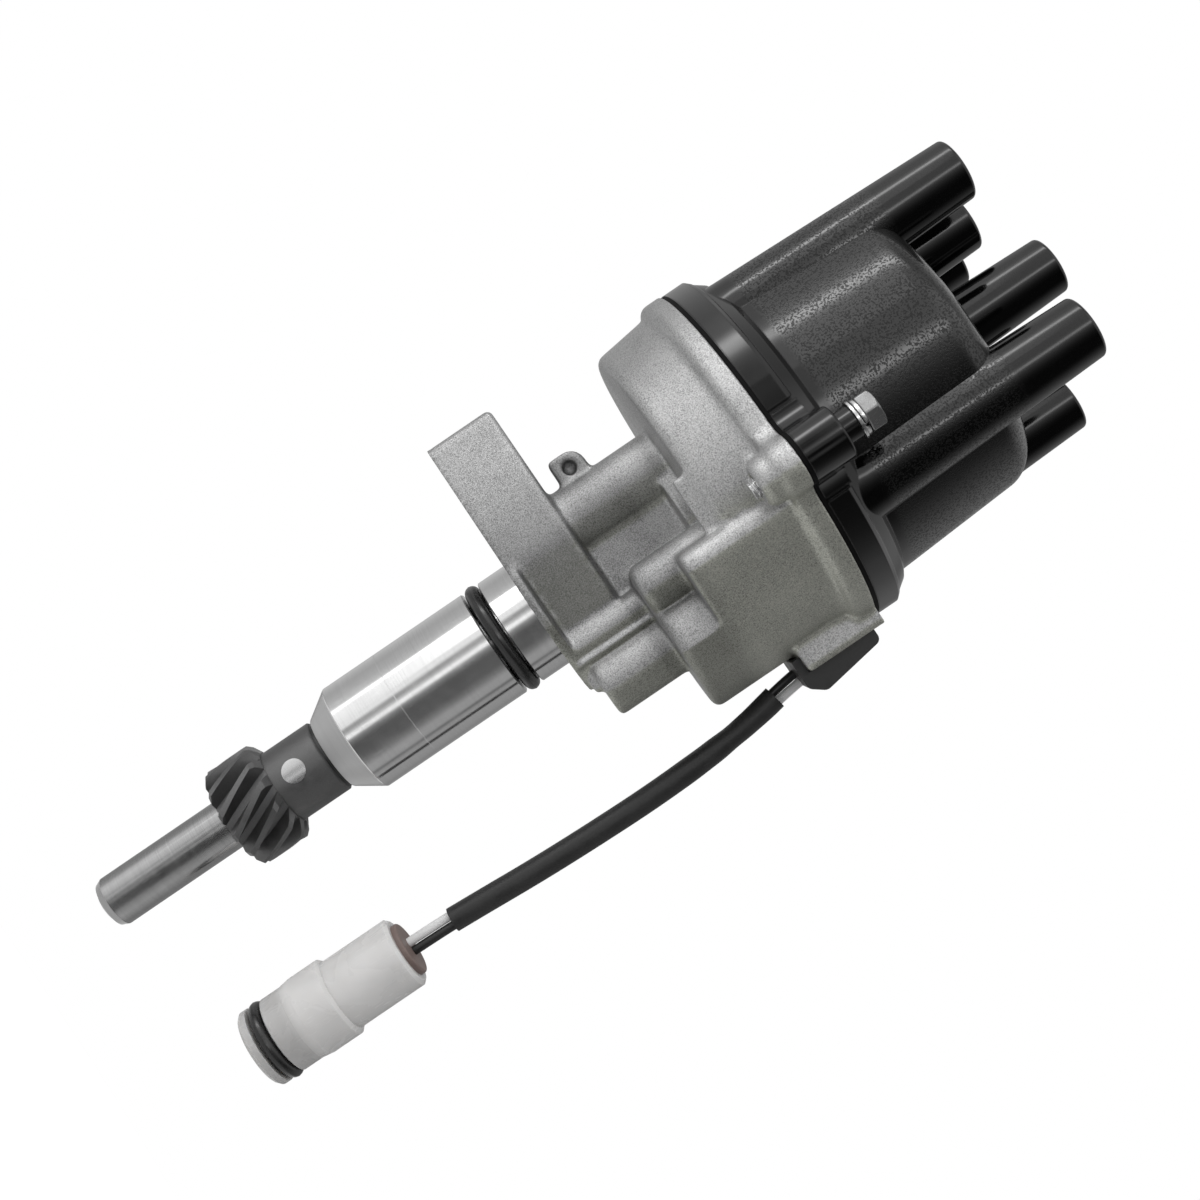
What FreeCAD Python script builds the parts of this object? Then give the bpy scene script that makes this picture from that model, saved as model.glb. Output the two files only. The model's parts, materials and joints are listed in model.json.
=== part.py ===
# Ignition distributor, gear driven, four plug leads.
# Millimetres. +Z is the shaft axis towards the cap. The origin is on that axis, on the plane where the
# flange seats on the engine block, so the barrel hangs in the block below it.
# -Y is the side with the cap screw and the flat of the neck, +X the side with the lead grommet.
import FreeCAD, Part
import math
import os

Vector = FreeCAD.Vector

# Fits
press_gap = 0.02          # radial gap of pieces pressed or pinned together
running_gap = 0.05        # radial gap of a turning fit
seat_gap = 0.05           # axial gap of a turning seat

# Barrel, in the engine block's bore
barrel_radius = 13.5
barrel_depth = 57.4       # how far the barrel reaches below the flange
barrel_nose = 6.4         # length of the lead-in cone
barrel_end_radius = 9.3
groove_depth_from_flange = 12.2
groove_width = 4.3
ring_section = 1.75       # radius of the O-ring's section
ring_squeeze = 0.6        # how far the ring stands out of the barrel
ream_line_depth = 36.7    # shallow relief line where the turning tool was lifted
ream_line = 0.15

# Shaft and what turns with it
shaft_radius = 6.4        # in the bush and under the gear
tail_radius = 6.2
tail_length = 35.3        # plain tail below the gear
tail_round = 2.2
relief_width = 0.7        # grinding relief where the tail meets the thicker shaft
relief_depth = 0.2
relief_drop = 0.3         # how far the shoulder stands below the gear
collar_radius = 7.0       # the seal's lip runs here
collar_length = 6.0
journal_radius = 6.0      # bearing and signal rotor seat
spigot_radius = 5.0       # rotor arm seat, with a flat
spigot_flat = 3.9         # distance of the flat from the axis
spigot_length = 11.0

# Drive gear
gear_teeth = 13
gear_radius = 12.65
gear_root_radius = 9.35
gear_face = 13.9
gear_helix = 31.0         # degrees at the tips, left hand
gear_hub_radius = 9.1
gear_hub_length = 12.9
gear_shoulder = 2.4       # rounding of the upper end of the teeth
gear_chamfer = 0.8
washer_radius = 8.6
washer_thickness = 0.8
pin_radius = 2.85
pin_turn = 10.0           # degrees from -Y towards -X
pin_drop = 7.3            # from the hub's top down to the pin's axis

# Lower bush
bush_radius = 8.0
bush_length = 20.0
cored_radius = 7.5        # clearance bore round the shaft

# Flange ear and base disc
ear_height = 17.0
ear_tip = 44.5
ear_near_tip = 9.0
ear_near_bend = 18.0
ear_bend = 12.0
ear_end = 9.0
ear_end_near = 15.5
ear_far = 18.5
ear_far_end = 15.0
ear_edge = 1.0
disc_radius = 21.5
disc_height = 2.2
slot_distance = 34.0
slot_width = 8.5
slot_length = 18.0
slot_offset = 3.5

# Neck between ear and bowl
neck_flat = 12.0
neck_left = 14.0
neck_right = 4.3
pillar_radius = 7.7
pillar_x = -12.8
pillar_y = -8.5
tab_reach = 26.6
tab_low = 20.6
tab_high = 28.6
tab_near = 11.0
tab_thickness = 5.0
tab_hole_depth = 3.5
tab_hole_radius = 1.65
tab_hole_x = -23.0
fin_reach = 6.5
fin_thickness = 2.4
fin_drop = 3.2

# Boss beside the ear, with the web that ties it to the neck
side_boss_radius = 7.1
side_boss_x = 22.6
side_boss_y = -12.5
side_boss_foot = 3.0
web_radius = 4.0
web_x = 11.6
web_y = -13.6
rib_x = 15.1
rib_width = 1.1

# Bowl
bowl_floor = 43.2         # underside of the floor
floor_thickness = 3.8
bowl_mouth_radius = 42.1  # under the lip
bowl_slope = 1.7          # radius lost from there down to the floor
bowl_wall = 3.7
bowl_depth = 20.0         # underside of the floor up to the cap seat
lip_overhang = 2.2        # beyond the mouth
lip_height = 5.6
corner_round = 1.2

# Deep pocket on the lead side
pocket_overhang = 1.9     # beyond the mouth
pocket_shift = -2.8       # centre of the pocket's round wall on X
pocket_left = 6.9
pocket_ledge_drop = 11.4  # below the bowl's floor; under it the near wall steps back
pocket_drop = 21.7        # below the bowl's floor
pocket_back = 26.0
pocket_wall = 3.2
pocket_round = 4.0
foot_round = 2.0
column_radius = 6.0
column_x = 9.3
column_y = -26.0
bulge_radius = 16.0
bulge_x = 27.5
bulge_y = -18.3

# Cap screws and their bosses
screw_reach = 2.7         # from the lip out to the screws' axes
screw_turn = 5.5          # degrees from -Y towards +X
boss_radius = 6.3
boss_drop = 10.0          # below the cap seat
boss_round = 2.0
boss_web_share = 0.86     # how far out the web under each boss is centred
boss_step = 0.7           # the boss is slimmer than the ear of the lip above it
flank_round = 6.0         # hollow flanks from the rim out to each ear
flank_bite = 0.15         # how far their rounding cuts into rim and ear
screw_radius = 2.45
screw_clearance = 0.1
screw_below_boss = 0.7
hex_across_flats = 8.0
hex_height = 3.4
plain_washer_radius = 4.5
plain_washer_thickness = 0.8
spring_washer_radius = 4.2
spring_washer_thickness = 1.1
spring_washer_gap = 0.7
tapped_hole_gap = 0.1

# Bearing, seal and retainer
bearing_outer = 14.0
bearing_height = 8.0
bearing_rise = 2.8        # above the underside of the bowl's floor
bearing_race_outer = 11.4
bearing_race_inner = 8.6
ball_radius = 2.4
ball_pitch = 10.0
ball_count = 8
cage_half_height = 1.3
cage_inner = 9.35
cage_outer = 10.65
bearing_boss_radius = 18.2
shoulder_width = 1.6
seal_radius = 9.5
seal_height = 4.0
seal_gap = 1.0            # between the seal and the bearing
retainer_thickness = 1.5
retainer_inner = 9.4
retainer_screw_circle = 16.1
retainer_screw_radius = 1.5
retainer_screw_count = 3
retainer_screw_depth = 6.0
pan_radius = 2.7
pan_height = 1.8

# Signal rotor and pickup
signal_collar = 4.0       # spacer between the bearing and the teeth
signal_height = 6.0
signal_radius = 12.0
signal_hub_radius = 8.2
signal_tooth_width = 3.6
signal_count = 4
signal_air_gap = 0.4
pickup_post_x = 24.0
pickup_post_y = 14.0
pickup_post_radius = 3.6
post_web = 1.2            # half thickness of the web that ties each post to the wall
pickup_plate_thickness = 1.6
pickup_plate_inner = 16.4
pickup_plate_outer = 33.0
pickup_plate_half = 17.6
core_half_width = 2.2
core_half_height = 2.2
core_end = 28.5
coil_start = 15.6
coil_end = 25.0
coil_half_width = 5.6
coil_round = 1.5
flange_thickness = 1.0
magnet_length = 3.0
magnet_half_width = 5.0

# Rotor arm
arm_gap = 3.0             # above the signal rotor
arm_hub_radius = 8.4
arm_hub_height = 7.4
arm_thickness = 5.0
arm_half_width = 6.5
arm_reach = 27.0
arm_tail = 15.0
blade_thickness = 1.2
blade_half_width = 3.2
blade_reach = 30.3
blade_pad_radius = 3.6

# Cap
gasket_thickness = 1.0
cap_inset = 0.3           # rim inside the lip
cap_band_step = 1.0
cap_band_height = 5.2
cap_shoulder_height = 9.8
cap_shoulder_width = 5.1  # from the rim in to the foot of the wall
cap_wall_slope = 2.3      # radius lost up to the roof
cap_height = 48.8         # roof above the cap seat
cap_round = 7.5
cap_wall = 4.3
cap_roof = 4.5
cap_boss_height = 9.8
cap_boss_sleeve = 3.4
cap_boss_sleeve_radius = 3.8
cap_band_gap = 11.4       # half width of the break in the band at each screw
lug_parting = 1.4         # inside the rim, where the lugs' own solids start
spigot_depth = 2.8
spigot_clearance = 0.3
tower_inset = 3.6         # axes inside the top of the wall
tower_turn = 28.3         # degrees of the first tower from -Y towards +X
tower_count = 4
tower_height = 68.8       # tips above the cap seat
tower_tip_radius = 7.4
tower_draft = 0.033       # radius lost per millimetre of height
tower_rise = 4.8          # feet above the cap seat
centre_height = 78.8
centre_tip_radius = 7.0
vent_height = 69.8
vent_circle = 21.0
vent_turn = 162.7         # degrees from +X
tower_rim_round = 0.9
socket_radius = 4.6
socket_depth = 17.0
vent_bore = 3.2
lead_boss_radius = 4.5
terminal_radius = 2.0
terminal_lap = 4.6        # how far the rods reach below the top of the rotor's blade
terminal_bare = 8.0       # length of rod that stands out of its boss
cup_radius = 3.6
cup_height = 3.0
cup_wall = 0.8
centre_boss_radius = 6.6
brush_hold = 1.7          # how far the brush's top stands inside its boss
brush_radius = 2.5
brush_length = 13.0
brush_gap = 0.1
spring_coil_radius = 1.8
spring_wire_radius = 0.3
spring_turns = 5
spring_length = 8.6

# Grommet and its shelf on the housing
shelf_overhang = 1.0      # beyond the lip
shelf_half = 16.0
shelf_root = 30.0
window_half = 10.0
window_rise = 0.6         # above the inside of the floor
window_drop = 3.6         # below the cap seat
grommet_half = 12.0
grommet_thickness = 5.7
grommet_hook_drop = 2.2   # how far it reaches below the shelf
grommet_hook_depth = 4.0  # and how far back under it
grommet_lap = 1.0         # above the window
grommet_neck_gap = 0.1
grommet_depth = 11.9      # reach of the neck into the window

# Lead: two wires in a sleeve, hanging from the grommet
wire_radius = 1.1
wire_offset = 1.15
sleeve_radius = 2.95
sleeve_bore = 2.45
sleeve_top = 34.2
sleeve_bottom = -56.3
# Centre line of the lead from the grommet down to the plug: reach beyond the shelf on X, and Z; Y is 0
lead_line = [
    (0.6, 41.0),
    (1.2, 35.6),
    (2.8, 27.6),
    (4.0, 15.4),
    (4.5, -1.0),
    (4.2, -17.6),
    (3.6, -33.6),
    (2.6, -48.4),
    (2.0, -59.0),
    (1.9, -69.1),
]
# How far the two wires have turned round each other at each of those points, degrees
lead_twist = [0, 0, 20, 50, 80, 105, 130, 160, 180, 180]

# Plug
plug_reach = 2.0          # axis beyond the shelf
plug_top = -69.1
plug_rear_radius = 8.8
plug_rear_length = 18.1
plug_body_radius = 9.95
plug_body_length = 11.0
plug_front_radius = 9.5
plug_front_length = 5.3
plug_groove_length = 4.1
plug_groove_radius = 7.0
plug_lip_radius = 9.65
plug_lip_length = 2.4
plug_round = 0.8
plug_collar_slope = 2.0   # length of the collar's sloping front end
plug_ring_section = 1.5
rear_seal_radius = 6.6
rear_seal_depth = 6.0
rear_seal_proud = 1.4
pin_well_half_x = 4.6
pin_well_half_y = 3.0
pin_well_depth = 15.0
plug_pin_radius = 0.9
plug_pin_pitch = 4.4
plug_pin_length = 15.0
plug_pin_setback = 5.2

# Places worked out from the sizes above
bowl_radius = bowl_mouth_radius - bowl_slope
lip_radius = bowl_mouth_radius + lip_overhang
pocket_radius = bowl_mouth_radius + pocket_overhang
screw_circle = lip_radius + screw_reach
cap_rim_radius = lip_radius - cap_inset
cap_wall_foot_radius = cap_rim_radius - cap_shoulder_width
cap_wall_top_radius = cap_wall_foot_radius - cap_wall_slope
tower_circle = cap_wall_top_radius - tower_inset
shelf_reach = lip_radius + shelf_overhang
plug_x = shelf_reach + plug_reach
lead_route = [(shelf_reach + reach, z) for reach, z in lead_line]
hub_top = -barrel_depth - washer_thickness - 2 * seat_gap
gear_top = hub_top - gear_hub_length
gear_foot = gear_top - gear_face
tail_tip = gear_foot - tail_length
pin_height = hub_top - pin_drop
ring_centre_z = -groove_depth_from_flange + groove_width / 2
ring_centre_radius = barrel_radius + ring_squeeze - ring_section
groove_radius = ring_centre_radius - ring_section
floor_top = bowl_floor + floor_thickness
bowl_height = bowl_floor + bowl_depth
lip_foot = bowl_height - lip_height
boss_foot = bowl_height - boss_drop
pocket_foot = bowl_floor - pocket_drop
pocket_ledge = bowl_floor - pocket_ledge_drop
bearing_foot = bowl_floor + bearing_rise
bearing_top = bearing_foot + bearing_height
seal_foot = bearing_foot - seal_gap - seal_height
retainer_top = bearing_top + retainer_thickness
signal_foot = bearing_top + signal_collar
signal_top = signal_foot + signal_height
arm_foot = signal_top + arm_gap
shaft_top = arm_foot + spigot_length
arm_top = arm_foot + arm_hub_height + arm_thickness
blade_top = arm_top + blade_thickness
cap_seat = bowl_height + gasket_thickness
cap_boss_top = cap_seat + cap_boss_height
sleeve_top_of_boss = cap_boss_top + cap_boss_sleeve
washer_top = sleeve_top_of_boss + plain_washer_thickness
head_foot = washer_top + spring_washer_thickness
cap_top = cap_seat + cap_height
tower_tip = cap_seat + tower_height
tower_foot = cap_seat + tower_rise
centre_tip = cap_seat + centre_height
vent_tip = cap_seat + vent_height
cap_inside_top = cap_top - cap_roof
brush_foot = blade_top + brush_gap
brush_top = brush_foot + brush_length
centre_boss_foot = brush_top - brush_hold
terminal_foot = blade_top - terminal_lap
lead_boss_foot = terminal_foot + terminal_bare
shelf_foot = bowl_floor
window_low = floor_top + window_rise
window_high = bowl_height - window_drop
grommet_reach = shelf_reach + grommet_thickness
grommet_low = shelf_foot - grommet_hook_drop
grommet_high = window_high + grommet_lap
grommet_hook = shelf_reach - grommet_hook_depth
grommet_inner_reach = shelf_reach - grommet_depth
spring_foot = brush_top
spring_top = spring_foot + spring_length
plug_bottom = plug_top - plug_rear_length - plug_body_length - plug_front_length
plug_bottom = plug_bottom - plug_groove_length - plug_lip_length
far = 60.0                # past every outside face
up = Vector(0, 0, 1)


def polar(radius, degrees):
    """Point on a circle round the shaft axis, counted from +X."""
    turn = math.radians(degrees)
    return radius * math.cos(turn), radius * math.sin(turn)


screw_places = [polar(screw_circle, -90 + screw_turn + 180 * k) for k in range(2)]
tower_places = [polar(tower_circle, -90 + tower_turn + 90 * k) for k in range(tower_count)]
vent_place = polar(vent_circle, vent_turn)


def cylinder(radius, low, high, x=0.0, y=0.0):
    return Part.makeCylinder(radius, high - low, Vector(x, y, low))


def cone(low_radius, high_radius, low, high, x=0.0, y=0.0):
    return Part.makeCone(low_radius, high_radius, high - low, Vector(x, y, low))


def block(x_low, x_high, y_low, y_high, z_low, z_high):
    corner = Vector(x_low, y_low, z_low)
    return Part.makeBox(x_high - x_low, y_high - y_low, z_high - z_low, corner)


def revolve(profile, x=0.0, y=0.0):
    """Solid of revolution round Z from (radius, height) corners."""
    corners = [Vector(r, 0, z) for r, z in profile]
    face = Part.Face(Part.makePolygon(corners + corners[:1]))
    solid = face.revolve(Vector(0, 0, 0), up, 360)
    solid.translate(Vector(x, y, 0))
    return solid


def rounded_outline(corners):
    """Closed wire in the XY plane from (x, y, radius) corners, each rounded by a tangent arc."""
    edges = []
    ends = []
    count = len(corners)
    for i in range(count):
        x, y, radius = corners[i]
        here = Vector(x, y, 0)
        before = Vector(corners[i - 1][0], corners[i - 1][1], 0)
        after = Vector(corners[(i + 1) % count][0], corners[(i + 1) % count][1], 0)
        back = (before - here).normalize()
        ahead = (after - here).normalize()
        half = back.getAngle(ahead) / 2
        setback = radius / math.tan(half)
        middle = (back + ahead).normalize() * (radius / math.sin(half) - radius)
        ends.append((here + back * setback, here + middle, here + ahead * setback))
    for i in range(count):
        start, middle, stop = ends[i]
        edges.append(Part.Arc(start, middle, stop).toShape())
        edges.append(Part.LineSegment(stop, ends[(i + 1) % count][0]).toShape())
    return Part.Wire(edges)


def rounded_prism(corners, low, high):
    solid = Part.Face(rounded_outline(corners)).extrude(Vector(0, 0, high - low))
    solid.translate(Vector(0, 0, low))
    return solid


def round_block(x_low, x_high, y_low, y_high, z_low, z_high, radius):
    """Block with its upright edges rounded."""
    return rounded_prism([
        (x_low, y_low, radius),
        (x_high, y_low, radius),
        (x_high, y_high, radius),
        (x_low, y_high, radius),
    ], z_low, z_high)


def edges_at(solid, height):
    """Edges of a solid that lie flat at one height."""
    near = 1e-4
    return [e for e in solid.Edges
            if abs(e.BoundBox.ZMin - height) < near and abs(e.BoundBox.ZMax - height) < near]


def fuse(solids):
    return solids[0].multiFuse(solids[1:]).removeSplitter()


def drill(solid, radius, low, high, places):
    """Cut an upright round hole at each place."""
    for x, y in places:
        solid = solid.cut(cylinder(radius, low, high, x, y))
    return solid


def hexagon(across_flats, low, high, x, y):
    corners = []
    for k in range(6):
        turn = math.radians(60 * k + 30)
        reach = across_flats / math.sqrt(3)
        corners.append(Vector(x + reach * math.cos(turn), y + reach * math.sin(turn), low))
    return Part.Face(Part.makePolygon(corners + corners[:1])).extrude(Vector(0, 0, high - low))


def arc_radii(points):
    """Radius of the arc at each inner point of a route: 0.45 of the shorter run over tan(half turn)."""
    radii = []
    for i in range(1, len(points) - 1):
        back = points[i] - points[i - 1]
        ahead = points[i + 1] - points[i]
        turn = back.getAngle(ahead)
        radii.append(0.45 * min(back.Length, ahead.Length) / math.tan(turn / 2))
    return radii


def route_wire(points):
    """Straight runs joined by tangent arcs."""
    edges = []
    start = points[0]
    for i, radius in enumerate(arc_radii(points), 1):
        back = (points[i - 1] - points[i]).normalize()
        ahead = (points[i + 1] - points[i]).normalize()
        half = back.getAngle(ahead) / 2
        setback = radius / math.tan(half)
        enter = points[i] + back * setback
        leave = points[i] + ahead * setback
        middle = points[i] + (back + ahead).normalize() * (radius / math.sin(half) - radius)
        edges.append(Part.LineSegment(start, enter).toShape())
        edges.append(Part.Arc(enter, middle, leave).toShape())
        start = leave
    edges.append(Part.LineSegment(start, points[-1]).toShape())
    return Part.Wire(edges)


def tube(points, radius):
    path = route_wire(points)
    direction = (points[1] - points[0]).normalize()
    section = Part.Wire([Part.Circle(points[0], direction, radius).toShape()])
    return path.makePipeShell([section], True, False)


# The housing casting

def barrel():
    return revolve([
        (0, -barrel_depth),
        (barrel_end_radius, -barrel_depth),
        (barrel_radius, -barrel_depth + barrel_nose),
        (barrel_radius, -ream_line_depth - ream_line),
        (barrel_radius - ream_line, -ream_line_depth),
        (barrel_radius, -ream_line_depth + ream_line),
        (barrel_radius, -groove_depth_from_flange),
        (groove_radius, -groove_depth_from_flange),
        (groove_radius, -groove_depth_from_flange + groove_width),
        (barrel_radius, -groove_depth_from_flange + groove_width),
        (barrel_radius, 0),
        (0, 0),
    ])


def ear():
    solid = rounded_prism([
        (-ear_tip, -ear_near_tip, 2.5),
        (-ear_bend, -ear_near_bend, 14.0),
        (ear_end, -ear_end_near, 2.5),
        (ear_end, ear_far_end, 4.0),
        (-ear_bend, ear_far, 14.0),
        (-ear_tip, ear_far, 5.0),
    ], 0, ear_height)
    solid = solid.makeFillet(ear_edge, edges_at(solid, ear_height))
    half = slot_length / 2 - slot_width / 2
    slot = fuse([
        cylinder(slot_width / 2, -1, ear_height + 1, -slot_distance, slot_offset - half),
        cylinder(slot_width / 2, -1, ear_height + 1, -slot_distance, slot_offset + half),
        block(-slot_distance - slot_width / 2, -slot_distance + slot_width / 2,
              slot_offset - half, slot_offset + half, -1, ear_height + 1),
    ])
    return solid.cut(slot)


def tab():
    """Small clip tab that stands out of the pillar, seen face on from -Y."""
    plate = rounded_prism([
        (-tab_reach, tab_low, 0.8),
        (pillar_x, tab_low, 0.5),
        (pillar_x, tab_high, 0.5),
        (-tab_reach, tab_high, 3.6),
    ], 0, tab_thickness)
    middle = (tab_low + tab_high) / 2
    near_face = tab_thickness
    hole = cylinder(tab_hole_radius, near_face - tab_hole_depth, near_face + 1, tab_hole_x, middle)
    plate = plate.cut(hole)
    plate.rotate(Vector(0, 0, 0), Vector(1, 0, 0), 90)
    plate.translate(Vector(0, -tab_near + tab_thickness, 0))
    return plate


def neck():
    core = rounded_prism([
        (-neck_left, -neck_flat, 1.0),
        (neck_right, -neck_flat, 1.0),
        (neck_right, neck_flat, 3.0),
        (-neck_left, neck_flat, 3.0),
    ], disc_height / 2, bowl_floor + 1)
    fin = block(-fin_reach, fin_reach, -bowl_radius + 2.2, -bowl_radius + 2.2 + fin_thickness,
                bowl_floor - fin_drop, bowl_floor + 1)
    return fuse([
        core,
        cylinder(neck_flat - 0.2, disc_height / 2, bowl_floor + 1),
        cylinder(pillar_radius, ear_height / 2, bowl_floor + 1, pillar_x, pillar_y),
        fin,
        tab(),
    ])


def side_boss():
    foot = side_boss_foot
    column = cylinder(side_boss_radius, foot, pocket_foot + 2, side_boss_x, side_boss_y)
    column = column.makeFillet(0.8, edges_at(column, foot))
    web = cylinder(web_radius, disc_height / 2, pocket_foot + 2, web_x, web_y)
    tie = block(0, side_boss_x, -neck_flat, -side_boss_y / 2, disc_height / 2, pocket_foot + 2)
    tie = tie.fuse(block(web_x, side_boss_x, web_y, -side_boss_y / 2, disc_height / 2, pocket_foot + 2))
    rib = block(rib_x - rib_width / 2, rib_x + rib_width / 2, web_y - web_radius, web_y,
                disc_height / 2, pocket_foot + 2)
    return fuse([column, web, tie, rib])


def pocket_outer():
    """Deep side of the bowl: a round wall, flat at the left, that steps back low on the near side."""
    wall = cylinder(pocket_radius, pocket_ledge, lip_foot, pocket_shift)
    upper = wall.common(block(pocket_left, far, -far, pocket_back, pocket_ledge, lip_foot))
    corner_y = -math.sqrt(pocket_radius ** 2 - (pocket_left - pocket_shift) ** 2)
    near_edge = [e for e in upper.Edges
                 if abs(e.BoundBox.XMin - pocket_left) < 1e-3
                 and abs(e.BoundBox.XMax - pocket_left) < 1e-3
                 and abs(e.BoundBox.YMin - corner_y) < 1e-2
                 and e.BoundBox.ZLength > pocket_round]
    upper = upper.makeFillet(pocket_round, near_edge)
    low_wall = cylinder(pocket_radius, pocket_foot, pocket_ledge + 1, pocket_shift)
    main = block(neck_right, far, column_y, pocket_back, pocket_foot, pocket_ledge + 1)
    main = low_wall.common(main)
    main = main.makeFillet(foot_round, edges_at(main, pocket_foot))
    flank = block(neck_right, column_x, column_y, pocket_back, pocket_ledge, bowl_floor + 1)
    bulge = low_wall.common(cylinder(bulge_radius, pocket_foot, pocket_ledge + 1, bulge_x, bulge_y))
    bulge = bulge.makeFillet(foot_round, edges_at(bulge, pocket_foot))
    column = cylinder(column_radius, pocket_foot, bowl_floor + 1, column_x, column_y)
    column = column.makeFillet(foot_round, edges_at(column, pocket_foot))
    return fuse([upper, main, flank, bulge, column])


def pocket_inner():
    radius = pocket_radius - pocket_wall
    low = pocket_foot + pocket_wall
    left = neck_flat + 1.5
    deep = cylinder(radius, low, floor_top + 1, pocket_shift)
    near, back = column_y + pocket_wall, pocket_back - pocket_wall
    deep = deep.common(block(left, far, near, back, low, floor_top + 1))
    wide = cylinder(radius, pocket_ledge + pocket_wall, floor_top + 1, pocket_shift)
    wide = wide.common(block(left, far, -far, back, pocket_ledge + pocket_wall, floor_top + 1))
    return deep.fuse(wide)


def bowl_outer():
    return revolve([
        (0, bowl_floor),
        (bowl_radius - corner_round, bowl_floor),
        (bowl_radius, bowl_floor + corner_round),
        (bowl_mouth_radius, lip_foot),
        (lip_radius - 0.5, lip_foot + 0.5),
        (lip_radius, lip_foot + 1.6),
        (lip_radius, bowl_height),
        (0, bowl_height),
    ])


def bowl_inner():
    return revolve([
        (0, floor_top),
        (bowl_radius - bowl_wall - corner_round, floor_top),
        (bowl_radius - bowl_wall, floor_top + corner_round),
        (bowl_mouth_radius - bowl_wall, bowl_height + 1),
        (0, bowl_height + 1),
    ])


def flanks(place, rim, radius, low, high):
    """Hollow flanks that lead from a round rim out to the ear at a cap screw."""
    x, y = place
    out = Vector(x, y, 0)
    across = Vector(-y, x, 0)
    across.normalize()
    along = Vector(out)
    along.normalize()
    from_rim = rim + flank_round - flank_bite
    from_ear = radius + flank_round - flank_bite
    share = (from_rim ** 2 + out.Length ** 2 - from_ear ** 2) / (2 * from_rim * out.Length)
    solids = []
    for side in (1, -1):
        way = along * share + across * (side * math.sqrt(1 - share ** 2))
        middle = way * from_rim
        from_screw = middle - out
        from_screw.normalize()
        corners = [out * 0.8, way * (rim - 1), middle, out + from_screw * (radius - 1), out]
        corners = [Vector(c.x, c.y, low) for c in corners + corners[:1]]
        prism = Part.Face(Part.makePolygon(corners)).extrude(up * (high - low))
        solids.append(prism.cut(cylinder(flank_round, low - 1, high + 1, middle.x, middle.y)))
    return solids


def screw_boss(place):
    x, y = place
    slim = boss_radius - boss_step
    foot = cylinder(slim, boss_foot, bowl_height, x, y)
    foot = foot.makeFillet(boss_round, edges_at(foot, boss_foot))
    web_place = x * boss_web_share, y * boss_web_share
    web = cylinder(slim, boss_foot + boss_round, bowl_height, *web_place)
    ear_foot = lip_foot + boss_step
    ear_of_lip = [cylinder(boss_radius, ear_foot, bowl_height, x, y),
                  cylinder(boss_radius, ear_foot, bowl_height, *web_place)]
    return fuse([foot, web] + ear_of_lip + flanks(place, lip_radius, boss_radius, ear_foot, bowl_height))


def shelf():
    return round_block(shelf_root, shelf_reach, -shelf_half, shelf_half, shelf_foot, bowl_height, 1.0)


def retainer_screw_places():
    step = 360 / retainer_screw_count
    return [polar(retainer_screw_circle, 60 + step * k) for k in range(retainer_screw_count)]


def pickup_screw_places():
    return [(pickup_post_x, -pickup_post_y), (pickup_post_x, pickup_post_y)]


def housing():
    outside = [barrel(), cylinder(disc_radius, 0, disc_height), ear(), neck(), side_boss(),
               pocket_outer(), bowl_outer(), shelf()]
    outside += [screw_boss(place) for place in screw_places]
    solid = fuse(outside)
    solid = solid.cut(pocket_inner()).cut(bowl_inner())
    posts = []
    for x, y in pickup_screw_places():
        posts.append(cylinder(pickup_post_radius, floor_top - 1, retainer_top, x, y))
        posts.append(block(x, bowl_radius - bowl_wall, y - post_web, y + post_web, bowl_floor, retainer_top))
    solid = fuse([solid, cylinder(bearing_boss_radius, seal_foot - 2, bearing_top)] + posts)
    holes = [
        cylinder(bush_radius + press_gap, -barrel_depth - 1, -barrel_depth + bush_length),
        cylinder(cored_radius, -barrel_depth, bearing_foot),
        cylinder(seal_radius + press_gap, seal_foot, bearing_foot + 1),
        cylinder(bearing_outer - shoulder_width, bearing_foot - 1, bearing_top + 1),
        cylinder(bearing_outer + press_gap, bearing_foot, bearing_top + 1),
        block(shelf_root, shelf_reach + 1, -window_half, window_half, window_low, window_high),
    ]
    for hole in holes:
        solid = solid.cut(hole)
    small = retainer_screw_radius + press_gap
    deep = retainer_screw_depth + 0.5
    solid = drill(solid, screw_radius + tapped_hole_gap, boss_foot - 1, bowl_height + 1, screw_places)
    solid = drill(solid, small, bearing_top - deep, bearing_top + 1, retainer_screw_places())
    solid = drill(solid, small, retainer_top - deep, retainer_top + 1, pickup_screw_places())
    return solid.removeSplitter()


# Seals and bearings

def ring(centre_radius, section, z, x=0.0, y=0.0):
    return Part.makeTorus(centre_radius, section, Vector(x, y, z), up)


def lower_bush():
    low = -barrel_depth
    return cylinder(bush_radius, low, low + bush_length).cut(
        cylinder(shaft_radius + running_gap, low - 1, low + bush_length + 1))


def bearing_track():
    return ring(ball_pitch, ball_radius + running_gap, bearing_foot + bearing_height / 2)


def bearing_outer_race():
    solid = cylinder(bearing_outer, bearing_foot, bearing_top)
    solid = solid.cut(cylinder(bearing_race_outer, bearing_foot - 1, bearing_top + 1))
    return solid.cut(bearing_track())


def bearing_inner_race():
    solid = cylinder(bearing_race_inner, bearing_foot, bearing_top)
    solid = solid.cut(cylinder(journal_radius + press_gap, bearing_foot - 1, bearing_top + 1))
    return solid.cut(bearing_track())


def ball_places():
    return [polar(ball_pitch, 360 / ball_count * k) for k in range(ball_count)]


def bearing_balls():
    middle = bearing_foot + bearing_height / 2
    return Part.makeCompound([Part.makeSphere(ball_radius, Vector(x, y, middle)) for x, y in ball_places()])


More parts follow.
